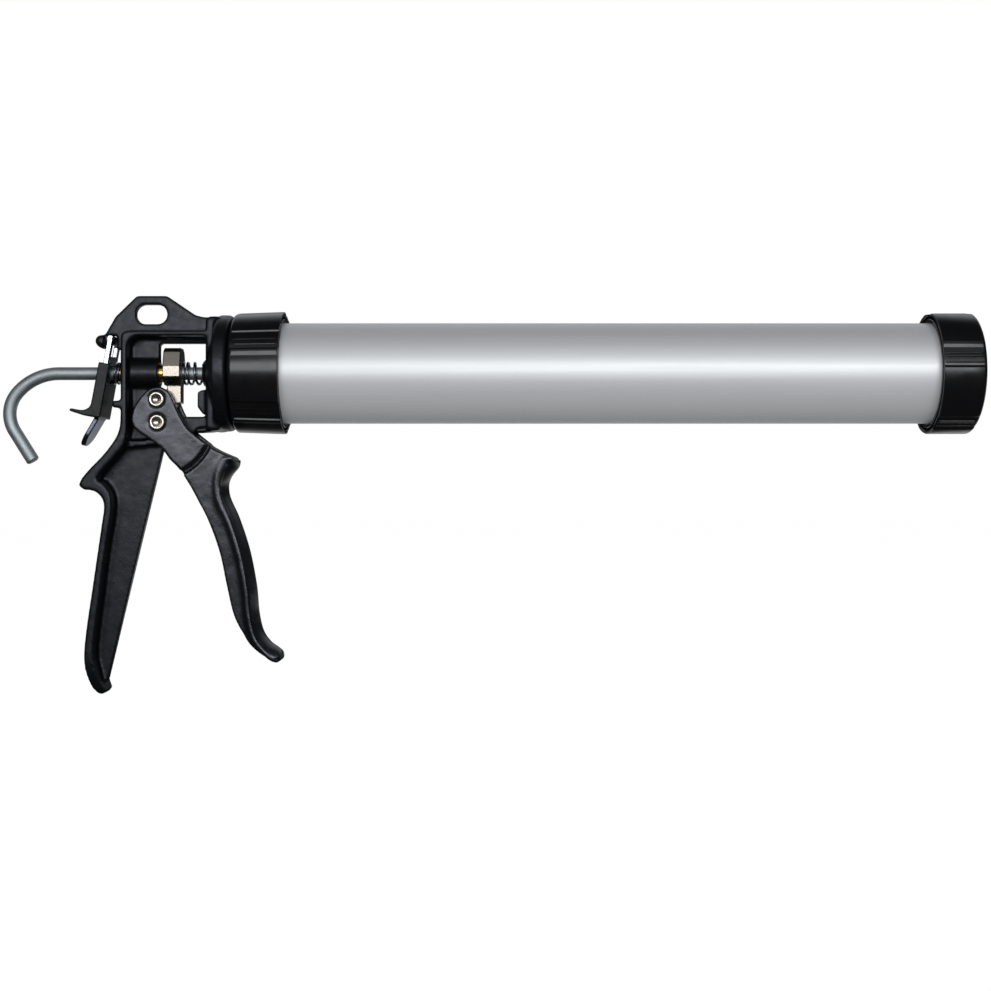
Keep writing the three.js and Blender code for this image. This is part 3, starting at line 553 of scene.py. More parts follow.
def turned_brass():
    metal = Finish("turned_brass", Metallic=1.0)
    rings = metal.noise(0.0004, 2.0, metal.stretched(1.0, 0.05, 0.05))
    colour = metal.between(metal.noise(0.003), (0.70, 0.42, 0.11), (0.82, 0.55, 0.18))
    return metal.made(colour, metal.ranged(rings, 0.18, 0.30), metal.bump(rings, 0.00001))


POWDER = powder_coat("powder_coat", 1.42, 0.32, 0.42)
TRIGGER_COAT = powder_coat("trigger_powder_coat", 1.62, 0.24, 0.32)
NYLON = gloss_nylon()
COVER = matt_nylon()
NATURAL = natural_nylon()
ZINC = zinc_plate("zinc_plate", (0.42, 0.46, 0.50), (0.55, 0.59, 0.62), 0.22)
RIVET_STEEL = zinc_plate("rivet_steel", (0.46, 0.43, 0.37), (0.60, 0.57, 0.50), 0.24)
SPRING_ZINC = zinc_plate("spring_wire_zinc", (0.22, 0.25, 0.29), (0.30, 0.33, 0.37), 0.2)
STAMPED = stamped_plate()
ROD_ZINC = zinc_plate("rod_zinc_plate", (0.45, 0.50, 0.52), (0.52, 0.57, 0.59), 0.54)
ANODISED = anodised_tube()
SINTERED = sintered_steel()
BRASS = turned_brass()

# ---------------------------------------------------------------- the frame casting

GRIP_BACK = [
    (FLANGE_BACK, -20),
    *curve([(-59.3, -28.4), (-61.4, -34.7), (-67.4, -43.2), (-75.5, -51.7), (-79.8, -56.8)]),
    (-81.5, -60.6, 1.6), (-78.2, -62.9),
    *curve([(-75.8, -62.8), (-71.8, -64.2), (-68.8, -67.6), (-67.9, -72.4), (-68.9, -80.0)]),
    *curve([(-71.2, -95.7), (-74.3, -117.0), (-76.9, -134.5), (-78.4, -148.8), (-78.0, -158.6),
            (-75.3, -168.6)]),
    (-71.4, -174.0, 2.2), (-68.4, -170.0, 1.4),
]
GRIP_INSIDE = [
    *curve([(-70.3, -167.0), (-72.1, -160.1), (-73.9, -149.9), (-72.2, -132.7), (-70.4, -119.3),
            (-67.6, -96.7), (-64.7, -78.9), (-63.8, -71.4)]),
    *curve([(-64.1, -67.1), (-65.6, -62.9), (-68.6, -59.0)]),
    (-72.2, -57.2, 1.2),
    *curve([(-69.9, -53.7), (-65.6, -48.8), (-58.6, -40.6), (-56.6, -36.0), (WALL_INNER, -29.0)]),
]


def flange_band():
    """The wide flange from the top bar round to the butt, where it narrows."""
    butt, butt_half, narrowing = -173.2, 2, 24
    end = [(butt_half + (FLANGE_HALF - butt_half) * math.sin(a), butt + narrowing * (1 - math.cos(a)))
           for a in quarter(10)]
    seen_from_behind = Solid().along_x([*end, (FLANGE_HALF, FLANGE_TOP + 1)], -100, 0)
    under_bar = FLANGE_TOP - 2.7
    seen_from_side = Solid().slab(
        [(WALL_BACK + 2, FLANGE_TOP), (FLANGE_BACK, FLANGE_TOP, 3.5), *GRIP_BACK, *GRIP_INSIDE,
         (WALL_INNER, under_bar, 6.5), (WALL_BACK + 2, under_bar)],
        -FLANGE_HALF - 2, FLANGE_HALF + 2,
    )
    return eased(combined(seen_from_side, seen_from_behind, "INTERSECT"), 1.55)


def body_web():
    """The flat web inside the flange, with the window that the drive block works in."""
    web = Solid().slab(
        [(WALL_INNER - 1, FLANGE_TOP - 1), (WALL_BACK + 2, FLANGE_TOP - 1), (WALL_BACK + 2, -30.0),
         (-19.9, -31.0), (-39.1, -42.2), (-68.8, -165.5),
         *[(corner[0] - 1.5, corner[1]) for corner in GRIP_INSIDE]],
        -WEB_HALF, WEB_HALF,
    )
    under_boss = -BOSS_RADIUS - 0.6
    window = Solid().slab(
        [(-40.7, 16.0, 1.5), (WALL_BACK, 16.0), (WALL_BACK, -23.3), (-36.0, -23.3), (-38.5, -21.5),
         (-47.0, -21.5, 2), (-47.0, under_boss, 2), (-40.7, under_boss)],
        -WEB_HALF - 1, WEB_HALF + 1,
    )
    return combined(web, window, "DIFFERENCE")


def eye_plate():
    """The plate above the top bar, ending in the hooked lug that the lock plate hangs in."""
    plate = Solid().slab(
        [(-74.4, 18.6, 1.5), (-72.6, 20.5), (-70.2, 20.9), (-66.3, 27.6), (-64.6, 30.6, 3), (-53.0, 41.8, 3),
         (-37.0, 41.8, 3), (-21.6, 31.4, 5), (-17.0, 30.3), (WALL_BACK + 3, 30.3),
         (WALL_BACK + 3, FLANGE_TOP - 1), (WALL_INNER, FLANGE_TOP - 1), (WALL_INNER, 12.7), (-63.8, 12.7),
         (-63.8, 19.6), (-64.2, 20.2), (-67.6, 20.2), (-68.9, 19.4), (-70.5, 15.2), (-70.1, 12.6),
         (-73.6, 14.2)],
        -WEB_HALF, WEB_HALF,
    )
    lug_radius, lug_at, lug_half = 3.3, (-72.1, 17.4), 4.4
    return plate.add(eased(Solid().bar_y(lug_radius, lug_at, -lug_half, lug_half), 2.2))


def frame_ribs():
    """The ribs under the window, the front wall's stop lug and the two guides behind the rear wall."""
    rib_half, lug_half, guide_inner = FORK_HALF - 1, 9.0, 11.6
    front = WALL_BACK + 2
    ribs = Solid().slab([(-57.5, -36.6), (-38.0, -35.4), (-37.0, -37.9), (-57.5, -40.2)], -rib_half, rib_half)
    ribs.slab([(front, -28.6), (-20.2, -30.0), (-21.2, -32.2), (front, -31.6)], -rib_half, rib_half)
    ribs.slab(
        [(WALL_BACK + 1, -9.0), (-17.0, -9.4), (-19.2, -10.6), (-19.3, -18.6), (-16.0, -22.6),
         (WALL_BACK + 1, -22.9)],
        -lug_half, lug_half,
    )
    guide = [(FLANGE_BACK + 1, -15.4), (-63.6, -15.4, 0.6), (-63.6, -18.9, 0.6), (FLANGE_BACK + 1, -19.8)]
    return ribs.slab(guide, -FLANGE_HALF, -guide_inner).slab(guide, guide_inner, FLANGE_HALF)


def front_end():
    """The front wall, its spring boss, the ring and the spigot."""
    wall = [(WALL_BACK, 29.5, 3), (-6.0, 29.5), (-6.0, -31.0), (-10.5, -31.4), (WALL_BACK, -30.6)]
    end = eased(Solid().slab(wall, -FLANGE_HALF, FLANGE_HALF), 1.4)
    end.turned(
        [(WALL_BACK + 1, 15), (-8.8, 23), (-8.8, RING_RADIUS - 1.4), (-7.4, RING_RADIUS), (-2.6, RING_RADIUS),
         (-0.9, RING_RADIUS - 0.9), (-CLEARANCE, RING_RADIUS - 2.6), (-CLEARANCE, SPIGOT_RADIUS),
         (COLLAR_END, SPIGOT_RADIUS)],
        128,
    )
    boss_radius = 8.2
    return end.turned(
        [(SPRING_SEAT, boss_radius - 1.6), (SPRING_SEAT + 2.2, boss_radius), (WALL_BACK + 1, boss_radius)],
    )


def cast_frame():
    cast = flange_band().add(body_web()).add(eye_plate()).add(frame_ribs()).add(front_end())
    cast.bar_x(BOSS_RADIUS, WALL_INNER - 1, BOSS_FRONT)
    cast.bar_y(PIVOT_BOSS, PIVOT, -FORK_HALF + CLEARANCE, FORK_HALF - CLEARANCE)
    half_length, half_height = 8.45, 5.25
    tools = Solid().slab(
        [(SLOT_AT[0] + side_x * half_length, SLOT_AT[1] + side_z * half_height, half_height - 0.05)
         for side_x, side_z in ((-1, -1), (1, -1), (1, 1), (-1, 1))],
        -WEB_HALF - 3, WEB_HALF + 3,
    )
    clear_of_plate = (-70.5, -8, 12), (-68.0, 8, 20.2)
    tools.box(*clear_of_plate)
    tools.bar_x(ROD_BORE + BUSH_WALL + CLEARANCE, -90, 20)
    return carved("cast_frame", cast, tools, voxel=0.75, softening=4)


piece(cast_frame(), POWDER, "frame", ["frame_casting"])


for name, x0, x1, node in (("rear_bush", FLANGE_BACK - 3.9, REAR_BUSH_FRONT, "rear_rod_bush"),
                           ("front_bush", SPRING_SEAT + CLEARANCE, 4.0, "front_rod_bush")):
    bush = tube(x0, x1, ROD_BORE, ROD_BORE + BUSH_WALL, 0.2, 0.2, 72)
    piece(bush.object(name), BRASS, "frame", [node], sharp=30)

# ---------------------------------------------------------------- springs

# Each spring is tied to the frame, the body whose casting one of its ends bears on.

DRIVE_WIRE = 0.68
drive_coil = wire_spring(
    "coiled_drive_spring", back=BLOCK_FRONT + CLEARANCE + DRIVE_WIRE,
    front=SPRING_SEAT - CLEARANCE - DRIVE_WIRE, radius=5.75, wire=DRIVE_WIRE,
    turns=2.92, closed_turns=1.25, closed_length=2 * DRIVE_WIRE + 1.3, hand=-1.0,
)
piece(drive_coil, SPRING_ZINC, "frame", ["drive_spring"])
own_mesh(drive_coil)

LOCK_WIRE = 0.52
cover_face = LOCK_AT[0] + COVER_FRONT / math.cos(LOCK_TILT) - LOCK_AT[1] * math.tan(LOCK_TILT)
lock_coil = wire_spring(
    "coiled_lock_spring", back=cover_face + (CLEARANCE + LOCK_WIRE) * 1.1,
    front=FLANGE_BACK - CLEARANCE - LOCK_WIRE, radius=5.6, wire=LOCK_WIRE,
    turns=3.2, closed_turns=0.001, closed_length=0.0, lean=math.tan(LOCK_TILT),
)
piece(lock_coil, SPRING_ZINC, "frame", ["lock_spring"])
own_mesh(lock_coil)

# ---------------------------------------------------------------- collars

LOBES = 5
REAR_OPEN = CLEARANCE + 26.6
POCKET_OUTER = COLLAR_RADIUS - 2.0
POCKET_INNER = POCKET_OUTER - 1.4
POCKET_DEPTH = 14.5
NOZZLE_RING = 2.3
FRONT_WALL = 2.6
FRONT_LENGTH = 22.8
FRONT_OPEN = BARREL_FRONT + NOZZLE_RING + 2 * CLEARANCE + FRONT_WALL - FRONT_LENGTH
CAP_FRONT = FRONT_OPEN + FRONT_LENGTH
# A panel's corners: the angle from -Y towards +Z, and the depth below the lobes.
REAR_PANEL = [(12.0, 0.0), (17.6, -0.55), (18.2, -0.55), (20.4, 0.75), (38.4, 0.75), (40.6, 0.0)]
FRONT_PANEL = [(1.0, 0.0), (3.4, 0.8), (20.0, 0.8), (25.0, 0.0), (26.6, -0.06), (29.0, 0.0)]


def lobed_collar(name, stations, inside, outline):
    """A collar whose outside has five smooth lobes with a sunk panel between each two.

    stations are (x, radius, share of the panels' depth); inside is the round profile that closes it, and
    outline gives a panel's corners.
    """
    around = 900

    def sunk(angle):
        middle = (outline[0][0] + outline[-1][0]) / 2
        at = middle + (angle - middle + 180 / LOBES) % (360 / LOBES) - 180 / LOBES
        for (a0, d0), (a1, d1) in zip(outline, outline[1:]):
            if a0 <= at <= a1:
                share = (at - a0) / (a1 - a0)
                return d0 + (d1 - d0) * share * share * (3 - 2 * share)
        return 0.0

    angles = [360 * k / around for k in range(around)]
    rings = []
    for x, radius, share in [*stations, *[(x, radius, 0.0) for x, radius in inside]]:
        ring = []
        for angle in angles:
            r = radius - sunk(angle) * share
            ring.append((x, -r * math.cos(math.radians(angle)), r * math.sin(math.radians(angle))))
        rings.append(ring)
    return Solid().loops(rings, closed=True).object(name)


def rib(x0, x1, radius, half_width, height, slope=0.0):
    """A low ridge along X on the -Y side, its ends run out into the panel."""
    lift = 0.6
    section = [(-1, -1.0), (-0.8, 0.35), (-0.3, 0.95), (0.3, 0.95), (0.8, 0.35), (1, -1.0)]
    stations = [(x0, 0.0), (x0 + 1.2, 0.8), (x0 + 2.2, 1.0), (x1 - 1.4, 1.0), (x1 - 0.6, 0.8), (x1, 0.0)]
    rings = []
    for x, share in stations:
        base = radius + slope * (x - x0)
        rings.append([(x, -(base + (height * share * rise if rise > 0 else rise * lift)), half_width * across)
                      for across, rise in section])
    return Solid().loops(rings)


def open_end(mouth, inwards):
    """A collar's open end: the pocket between its two walls, and the edge of its bore.

    inwards is 1 or -1, the way from the mouth into the collar along X.
    """
    step, bottom = mouth + inwards * 0.2, mouth + inwards * POCKET_DEPTH
    return [(mouth, POCKET_OUTER + 0.15), (step, POCKET_OUTER), (bottom, POCKET_OUTER),
            (bottom, POCKET_INNER), (step, POCKET_INNER), (mouth, POCKET_INNER - 0.2),
            (mouth, COLLAR_BORE + 0.3), (mouth + inwards * 0.3, COLLAR_BORE)]


rear_cap = lobed_collar(
    "rear_collar",
    [(0.3, COLLAR_RADIUS - 2.6, 0.0), (0.45, COLLAR_RADIUS - 2.0, 0.1), (1.4, COLLAR_RADIUS - 1.05, 0.5),
     (1.9, COLLAR_RADIUS - 0.85, 0.8), (3.0, COLLAR_RADIUS - 0.8, 1.0), (14.0, COLLAR_RADIUS - 0.4, 1.0),
     (REAR_OPEN - 1.0, COLLAR_RADIUS, 1.0), (REAR_OPEN - 0.5, COLLAR_RADIUS - 0.05, 0.9),
     (REAR_OPEN - 0.15, COLLAR_RADIUS - 0.25, 0.8), (REAR_OPEN, COLLAR_RADIUS - 0.6, 0.6)],
    [*open_end(REAR_OPEN, -1), (BARREL_REAR - CLEARANCE, COLLAR_BORE),
     (BARREL_REAR - CLEARANCE, BARREL_INNER - 0.5), (4.0, BARREL_INNER - 0.5),
     (4.0, SPIGOT_RADIUS + CLEARANCE), (0.3, SPIGOT_RADIUS + CLEARANCE)],
    outline=REAR_PANEL,
)
piece(rear_cap, NYLON, "barrel", ["rear_cap"], sharp=35)

rear_ribs = round_the_axis(
    "rear_collar_ribs", rib(2.6, REAR_OPEN - 0.6, COLLAR_RADIUS - 1.5, 0.66, 0.26, slope=0.03), NYLON,
    groups=LOBES, in_group=2, first=-25.3, step=-5.5,
)
piece(rear_ribs, NYLON, "barrel", ["rear_cap"], sharp=50)

front_cap = lobed_collar(
    "front_collar",
    [(FRONT_OPEN, COLLAR_RADIUS - 0.6, 0.6), (FRONT_OPEN + 0.15, COLLAR_RADIUS - 0.3, 0.8),
     (FRONT_OPEN + 0.6, COLLAR_RADIUS - 0.1, 1.0), (FRONT_OPEN + 8, COLLAR_RADIUS - 0.1, 1.0),
     (CAP_FRONT - 2.2, COLLAR_RADIUS - 0.15, 1.0), (CAP_FRONT - 1.4, COLLAR_RADIUS - 0.4, 0.8),
     (CAP_FRONT - 0.7, COLLAR_RADIUS - 1.0, 0.5), (CAP_FRONT - 0.2, COLLAR_RADIUS - 1.9, 0.1),
     (CAP_FRONT, COLLAR_RADIUS - 2.8, 0.0)],
    [(CAP_FRONT, 20.4), (CAP_FRONT - 0.4, 20.0), (CAP_FRONT - FRONT_WALL, 20.0),
     (CAP_FRONT - FRONT_WALL, COLLAR_BORE), *reversed(open_end(FRONT_OPEN, 1))],
    outline=FRONT_PANEL,
)
piece(front_cap, NYLON, "cap", ["front_cap"], sharp=35)

for name, first, in_group in (("front_collar_single_ribs", -6.4, 1), ("front_collar_twin_ribs", -12.2, 2)):
    front_ribs = round_the_axis(
        name, rib(FRONT_OPEN + 0.6, CAP_FRONT - 2.0, COLLAR_RADIUS - 0.9, 0.62, 0.5), NYLON,
        groups=LOBES, in_group=in_group, first=first, step=-2.9,
    )
    piece(front_ribs, NYLON, "cap", ["front_cap"], sharp=50)

# ---------------------------------------------------------------- barrel and nozzle ring

barrel = tube(BARREL_REAR, BARREL_FRONT, BARREL_INNER, BARREL_OUTER, 0.3, 0.4, 256)
piece(barrel.object("anodised_barrel"), ANODISED, "barrel", ["barrel_tube"], sharp=30)

seat = BARREL_FRONT + CLEARANCE
ring = tube(seat, seat + NOZZLE_RING, 18.0, 26.7, 0.3, 0.3, 128)
piece(ring.object("pale_nozzle_ring"), NATURAL, "ring", ["nozzle_ring"], sharp=30)

# ---------------------------------------------------------------- the trigger

ARM_OUTLINE = [
    *curve([(-38.6, -7.7), (-43.7, -8.6), (-47.4, -11.2), (-50.6, -15.0), (-53.2, -19.6), (-54.3, -25.2),
            (-53.4, -29.0), (-50.6, -32.0)]),
    *curve([(-42.6, -37.3), (-37.3, -41.6), (-33.8, -46.4), (-28.3, -52.2), (-22.6, -61.0)]),
    (-10.0, -61.0), (-9.0, -54.0), (-5.0, -48.0), (0.6, -46.6, 0.6),
    *curve([(-0.6, -45.2), (-9.7, -41.2), (-14.3, -38.0), (-21.3, -32.5), (-25.0, -28.8), (-29.3, -21.4),
            (-33.0, -12.8), (-34.8, -9.8)]),
]
# The finger grip's front edge and, beside each point of it, the root where its flange meets the web.
GRIP_STATIONS = [
    ((2.6, -46.8), (-4.5, -45.6)), ((1.8, -50.6), (-6.6, -49.0)), ((-1.6, -54.7), (-8.4, -53.8)),
    ((-3.6, -59.0), (-9.4, -59.0)), ((-3.6, -64.0), (-9.0, -65.0)), ((-2.2, -68.7), (-7.6, -70.6)),
    ((2.2, -78.5), (-2.9, -80.6)), ((7.6, -95.2), (2.3, -96.8)), ((11.3, -114.1), (5.8, -115.0)),
    ((12.7, -128.7), (7.2, -128.8)), ((15.0, -138.5), (9.8, -141.2)), ((18.9, -144.3), (15.0, -149.2)),
    ((22.8, -147.2), (19.2, -153.4)), ((25.4, -149.4), (22.8, -154.9)), ((26.0, -151.6), (24.8, -154.3)),
]
GRIP_FRONT = curve([front for front, _ in GRIP_STATIONS])
GRIP_ROOT = curve([root for _, root in GRIP_STATIONS])
PALM_SIDE = curve(
    [(19.6, -153.6), (12.1, -148.2), (5.7, -140.1), (0.3, -129.4), (-3.4, -113.8), (-7.2, -96.1),
     (-13.1, -79.5), (-18.5, -68.7), (-22.6, -61.0)],
)
TRIGGER_HALF = 10.3
HEAD_RECESS = 0.8  # depth of the flat that each rivet head sits in


def web_half(z):
    """Half the thickness of the trigger's web at a height, below the step at the end of its arm."""
    at_top, top, at_tip, tip = 10.2, -50, 9.2, -154
    return at_top + (at_top - at_tip) * (z - top) / (top - tip)


def within_webs():
    """Everything between the two flat sides of the trigger's web."""
    return Solid().along_x([(web_half(z), z) for z in range(-30, -162, -4)], -60, 35)


def finger_flange():
    """The wide front edge of the trigger: a fillet out of the web, a crest and a pointed round front."""
    crest, squareness = 0.2, 1.3
    rings = []
    last = len(GRIP_FRONT) - 1
    for k, ((fx, fz), (rx, rz)) in enumerate(zip(GRIP_FRONT, GRIP_ROOT)):
        to_tip = max(0.0, (k - last + 50) / 50)
        inwards = max(0.06, 1 - 1.9 * to_tip)
        half = 10.7 - 3.8 * to_tip ** 3
        web = web_half(rz)
        rise = half - web
        side = [(-0.9, web - 1.0), (-0.55, web), (-0.3, web + 0.2 * rise), (-0.1, web + 0.7 * rise),
                (0.0, web + 0.95 * rise)]
        side = [(share * inwards, y) for share, y in side] + [(crest - 0.04, half)]
        side += [(crest + (1 - crest) * math.sin(a) ** squareness, half * math.cos(a) ** squareness)
                 for a in quarter(10)[:-1]]
        section = [*side, (1.0, 0.0), *[(share, -y) for share, y in reversed(side)]]
        rings.append([(rx + (fx - rx) * share, y, rz + (fz - rz) * share) for share, y in section])
    return Solid().loops(rings)


def arm_groove(side, start=-85.0, end=-5.0, steps=24):
    """A sharp-bottomed groove round the pivot, at the step from the arm to the grip."""
    middle, half_width, depth = 29.9, 1.35, 4.2
    section = [(middle - half_width, 14), (middle + half_width, 14), (middle + half_width, 9),
               (middle, TRIGGER_HALF - depth), (middle - half_width, 9)]
    rings = []
    for angle in (math.radians(start + (end - start) * k / steps) for k in range(steps + 1)):
        rings.append([(PIVOT[0] + r * math.cos(angle), side * y, PIVOT[1] + r * math.sin(angle))
                      for r, y in section])
    return Solid().loops(rings)


def cast_trigger():
    half, head_radius, fork_depth = TRIGGER_HALF, 30.6, 26
    middle = [((fx + rx) / 2, (fz + rz) / 2) for (fx, fz), (rx, rz) in zip(GRIP_FRONT, GRIP_ROOT)]
    grip_outline = [(-24.0, -50.0), (-20.0, -46.0), (-8.0, -45.0), *middle[10:-10], *PALM_SIDE]
    grip = Solid().slab(grip_outline, -half, half)
    head = Solid().slab(arc(PIVOT, head_radius, 0, 350, 100), -half - 1, half + 1)
    arm = combined(Solid().slab(ARM_OUTLINE, -half, half), head, "INTERSECT")
    shoulder = combined(Solid().slab(ARM_OUTLINE, -half, half), within_webs(), "INTERSECT")
    body = combined(grip, within_webs(), "INTERSECT").add(eased(arm, 0.9)).add(shoulder).add(finger_flange())

    tools = Solid().slab(arc(PIVOT, fork_depth, 0, 350, 100), -FORK_HALF, FORK_HALF)
    recess_radius, hole_radius = 4.6, 2.3
    for side in (-1, 1):
        tools.add(arm_groove(side))
        for at in (PIVOT, DRIVE_PIN):
            tools.bar_y(recess_radius, at, *sorted((side * (half - HEAD_RECESS), side * 20)))
    for at in (PIVOT, DRIVE_PIN):
        tools.bar_y(hole_radius, at, -19, 19)
    return carved("cast_trigger", body, tools, voxel=0.55, softening=5)


piece(cast_trigger(), TRIGGER_COAT, "trigger", ["trigger"])


def rivets():
    """A dished rivet head on each side of each pin, with the shank between them."""
    seat_at = TRIGGER_HALF - HEAD_RECESS + CLEARANCE
    shank, end = 2.0, seat_at + 1.2
    half = [
        (0.0, shank), (seat_at, shank), (seat_at, 3.8), (seat_at + 0.15, 4.05), (seat_at + 0.5, 4.1),
        (end - 0.3, 4.0), (end - 0.1, 3.8), (end, 3.5), (end, 2.75), (end - 0.1, 2.6), (end - 0.5, 2.3),
        (end - 0.95, 1.6), (end - 1.25, 0.8), (end - 1.3, 0.3),
    ]
    profile = [*[(-x, radius) for x, radius in reversed(half[1:])], *half]
    rivet = Solid().turned(profile, 64).moved(Matrix.Rotation(math.radians(90), 4, "Z"))
    rule = Pattern("rivets", Pivot_X=PIVOT[0], Pivot_Z=PIVOT[1], Pin_X=DRIVE_PIN[0], Pin_Z=DRIVE_PIN[1])
    given = rule.given
    points = rule.node("GeometryNodePoints", {"Count": 2})
    first = rule.math("COMPARE", rule.node("GeometryNodeInputIndex", {}), 0.0, 0.5)

    def chosen(at_first, at_second):
        return rule.math("MULTIPLY_ADD", first, rule.math("SUBTRACT", at_first, at_second), at_second)

    x, z = (chosen(given["Pivot " + axis], given["Pin " + axis]) for axis in "XZ")
    places = rule.vector(x, 0.0, z)
    points = rule.node("GeometryNodeSetPosition", {"Geometry": points, "Position": places})
    both = rule.node("GeometryNodeInstanceOnPoints", {"Points": points, "Instance": given["Geometry"]})
    return rule.made(both, RIVET_STEEL, rivet.object("dished_rivets"))


piece(rivets(), RIVET_STEEL, "trigger", ["trigger_pivot_rivet", "drive_rivet"], sharp=40)

# ---------------------------------------------------------------- the drive block


def sintered_block():
    half, top, bottom, tail_half, tail_end = 8.4, 13.6, -6.6, 4.0, -20.0
    front_face = [(half, -2.3), (half, 3.4), (half - 0.8, 6.0), (half - 2.6, 11.6)]
    block = Solid().along_x([(half - 4.6, bottom), *front_face, (half - 5.4, top)], BLOCK_BACK, BLOCK_FRONT)
    sleeve_radius = 4.0
    tail_back = DRIVE_PIN[0] + sleeve_radius + CLEARANCE
    block.slab(
        [(tail_back, bottom + 1), (BLOCK_FRONT - 0.1, bottom + 1), (BLOCK_FRONT - 0.1, -16.2, 0.8),
         (-31.6, -16.6, 0.6), (-33.4, tail_end, 1.0), (tail_back, tail_end, 1)],
        -tail_half, tail_half,
    )
    return carved("sintered_block", block, Solid().bar_x(ROD_BORE, -60, 0), voxel=0.35, softening=3)


piece(sintered_block(), SINTERED, "drive", ["drive_block"])

# ---------------------------------------------------------------- the lock plate and its cover

IN_PLATE = Matrix.Translation((LOCK_AT[0], 0, LOCK_AT[1])) @ Matrix.Rotation(LOCK_TILT, 4, "Y")


def rod_hole(radius):
    """A bar where the rod passes, before the plate is hung and tilted."""
    return Solid().bar_x(radius, -10, 10).moved(Matrix.Translation((0, 0, ROD_ALONG_PLATE)))


def stamped_lock_plate():
    thick, half, top, bend = PLATE_HALF_THICK, 9.6, 0.7, -44.1
    bent, length, tongue_half = math.radians(20), 17.2, 7.0
    down, out = Vector((-math.sin(bent), -math.cos(bent))), Vector((math.cos(bent), -math.sin(bent)))
    tip = Vector((0, bend)) + down * length
    front_tip, back_tip = tip + out * thick, tip - out * thick
    corner = math.tan(bent / 2) * thick
    side_view = Solid().slab(
        [(-thick, top), (thick, top), (thick, bend - corner, 5.0), tuple(front_tip), tuple(back_tip),
         (-thick, bend + corner, 2.5)],
        -half - 1, half + 1,
    )
    shoulder, end = bend - 0.4, tip.y + 0.3
    round_end = [(tongue_half * math.cos(a), end + tongue_half * (1 - math.sin(a)))
                 for a in reversed(quarter(12))]
    front_view = [*round_end, (tongue_half, shoulder), (half, shoulder + 1.2), (half, top)]
    plate = combined(side_view, Solid().along_x(front_view, -15, 5), "INTERSECT")
    window = (-5, -5.6, -10.3), (5, 5.6, -3.9)
    tools = Solid().box(*window).add(rod_hole(ROD_BORE + 0.3))
    return carved("stamped_lock_plate", plate.moved(IN_PLATE), tools.moved(IN_PLATE), voxel=0.32, softening=2)


def moulded_lock_cover():
    front, back, top, bottom, half = COVER_FRONT, -3.4, -14.4, -43.8, 11.2
    cover = Solid().slab(
        [(front, top, 0.6), (back, top, 0.6), (back, -34.0),
         *curve([(back - 0.1, -37.4), (back - 1.0, -39.4), (-7.4, -41.2), (-13.6, -41.4)]),
         (-14.3, -42.2), (-13.8, -43.0), (-6.0, -44.0), (front, bottom, 0.6)],
        -half, half,
    )
    gap = PLATE_HALF_THICK + CLEARANCE
    slot_for_plate = (-gap, -9.9, -60), (gap, 9.9, 0)
    tools = Solid().box(*slot_for_plate).add(rod_hole(5.4))
    cover = eased(cover, 0.7).moved(IN_PLATE)
    return carved("moulded_lock_cover", cover, tools.moved(IN_PLATE), voxel=0.4, softening=4)


piece(stamped_lock_plate(), STAMPED, "lock", ["lock_plate"])
piece(moulded_lock_cover(), COVER, "lock", ["lock_cover"])

# ---------------------------------------------------------------- the pull rod


def hooked_rod():
    """The rod and its hook: two bends and a straight tail that turns down and back, ends chamfered."""
    start, bends, tail, sides, edge = -95.5, ((29.5, 50), (17.5, 72)), 19.2, 48, 0.7
    at, heading = Vector((start, 0.0)), 0.0
    stations = [
        (Vector((ROD_FRONT, 0)), 0.0, ROD_RADIUS - edge),
        (Vector((ROD_FRONT - edge, 0)), 0.0, ROD_RADIUS),
        (at.copy(), 0.0, ROD_RADIUS),
    ]
    for radius, sweep in bends:
        first = math.radians(heading)
        centre = at + Vector((math.sin(first), -math.cos(first))) * radius
        for k in range(1, sweep // 2 + 1):
            angle = math.radians(heading + 2 * k)
            out = Vector((-math.sin(angle), math.cos(angle)))
            stations.append((centre + out * radius, angle, ROD_RADIUS))
        heading += sweep
        at = stations[-1][0]
    last = math.radians(heading)
    ahead = Vector((-math.cos(last), -math.sin(last)))
    stations.append((at + ahead * (tail - edge), last, ROD_RADIUS))
    stations.append((at + ahead * tail, last, ROD_RADIUS - edge))
    rings = []
    for point, angle, radius in stations:
        out = Vector((-math.sin(angle), math.cos(angle)))
        around = [(radius * math.cos(a), radius * math.sin(a)) for a in turn(sides)]
        rings.append([(point.x + out.x * r, y, point.y + out.y * r) for r, y in around])
    return Solid().loops(rings).object("hooked_rod")


piece(hooked_rod(), ROD_ZINC, "rod", ["pull_rod"], sharp=35)

# ---------------------------------------------------------------- carried-over CAD nodes

CARRIED = {
    "cap_retainer_plate": ZINC,
    **{f"retainer_screw_{k}": ZINC for k in (1, 2, 3)},
    "drive_sleeve": ROD_ZINC,
    "piston_cup": NATURAL,
    **{f"piston_{side}_{kind}": ZINC for side in ("back", "front") for kind in ("nut", "washer")},
}
for name, material in CARRIED.items():
    for material_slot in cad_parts[name].material_slots:
        material_slot.material = material

# ---------------------------------------------------------------- floor, light and camera


def rays(tree, kind):
    """1 for rays of a kind, such as Is Diffuse Ray, and 0 for others."""
    return tree.node("ShaderNodeLightPath", {}, kind)


def seen(tree, glossy=None):
    """1 for what the eye sees, straight or through something clear; glossy adds that share of reflections."""
    straight = tree.math("MAXIMUM", rays(tree, "Is Camera Ray"), rays(tree, "Is Transmission Ray"))
    if glossy is None:
        return straight
    return tree.math("MAXIMUM", straight, tree.math("MULTIPLY", rays(tree, "Is Glossy Ray"), glossy))


def ramp(tree, value, start, end, low, high):
    """A smooth step of a value, from low at start to high at end."""
    return tree.ranged(value, low, high, start, end, interpolation_type="SMOOTHSTEP")


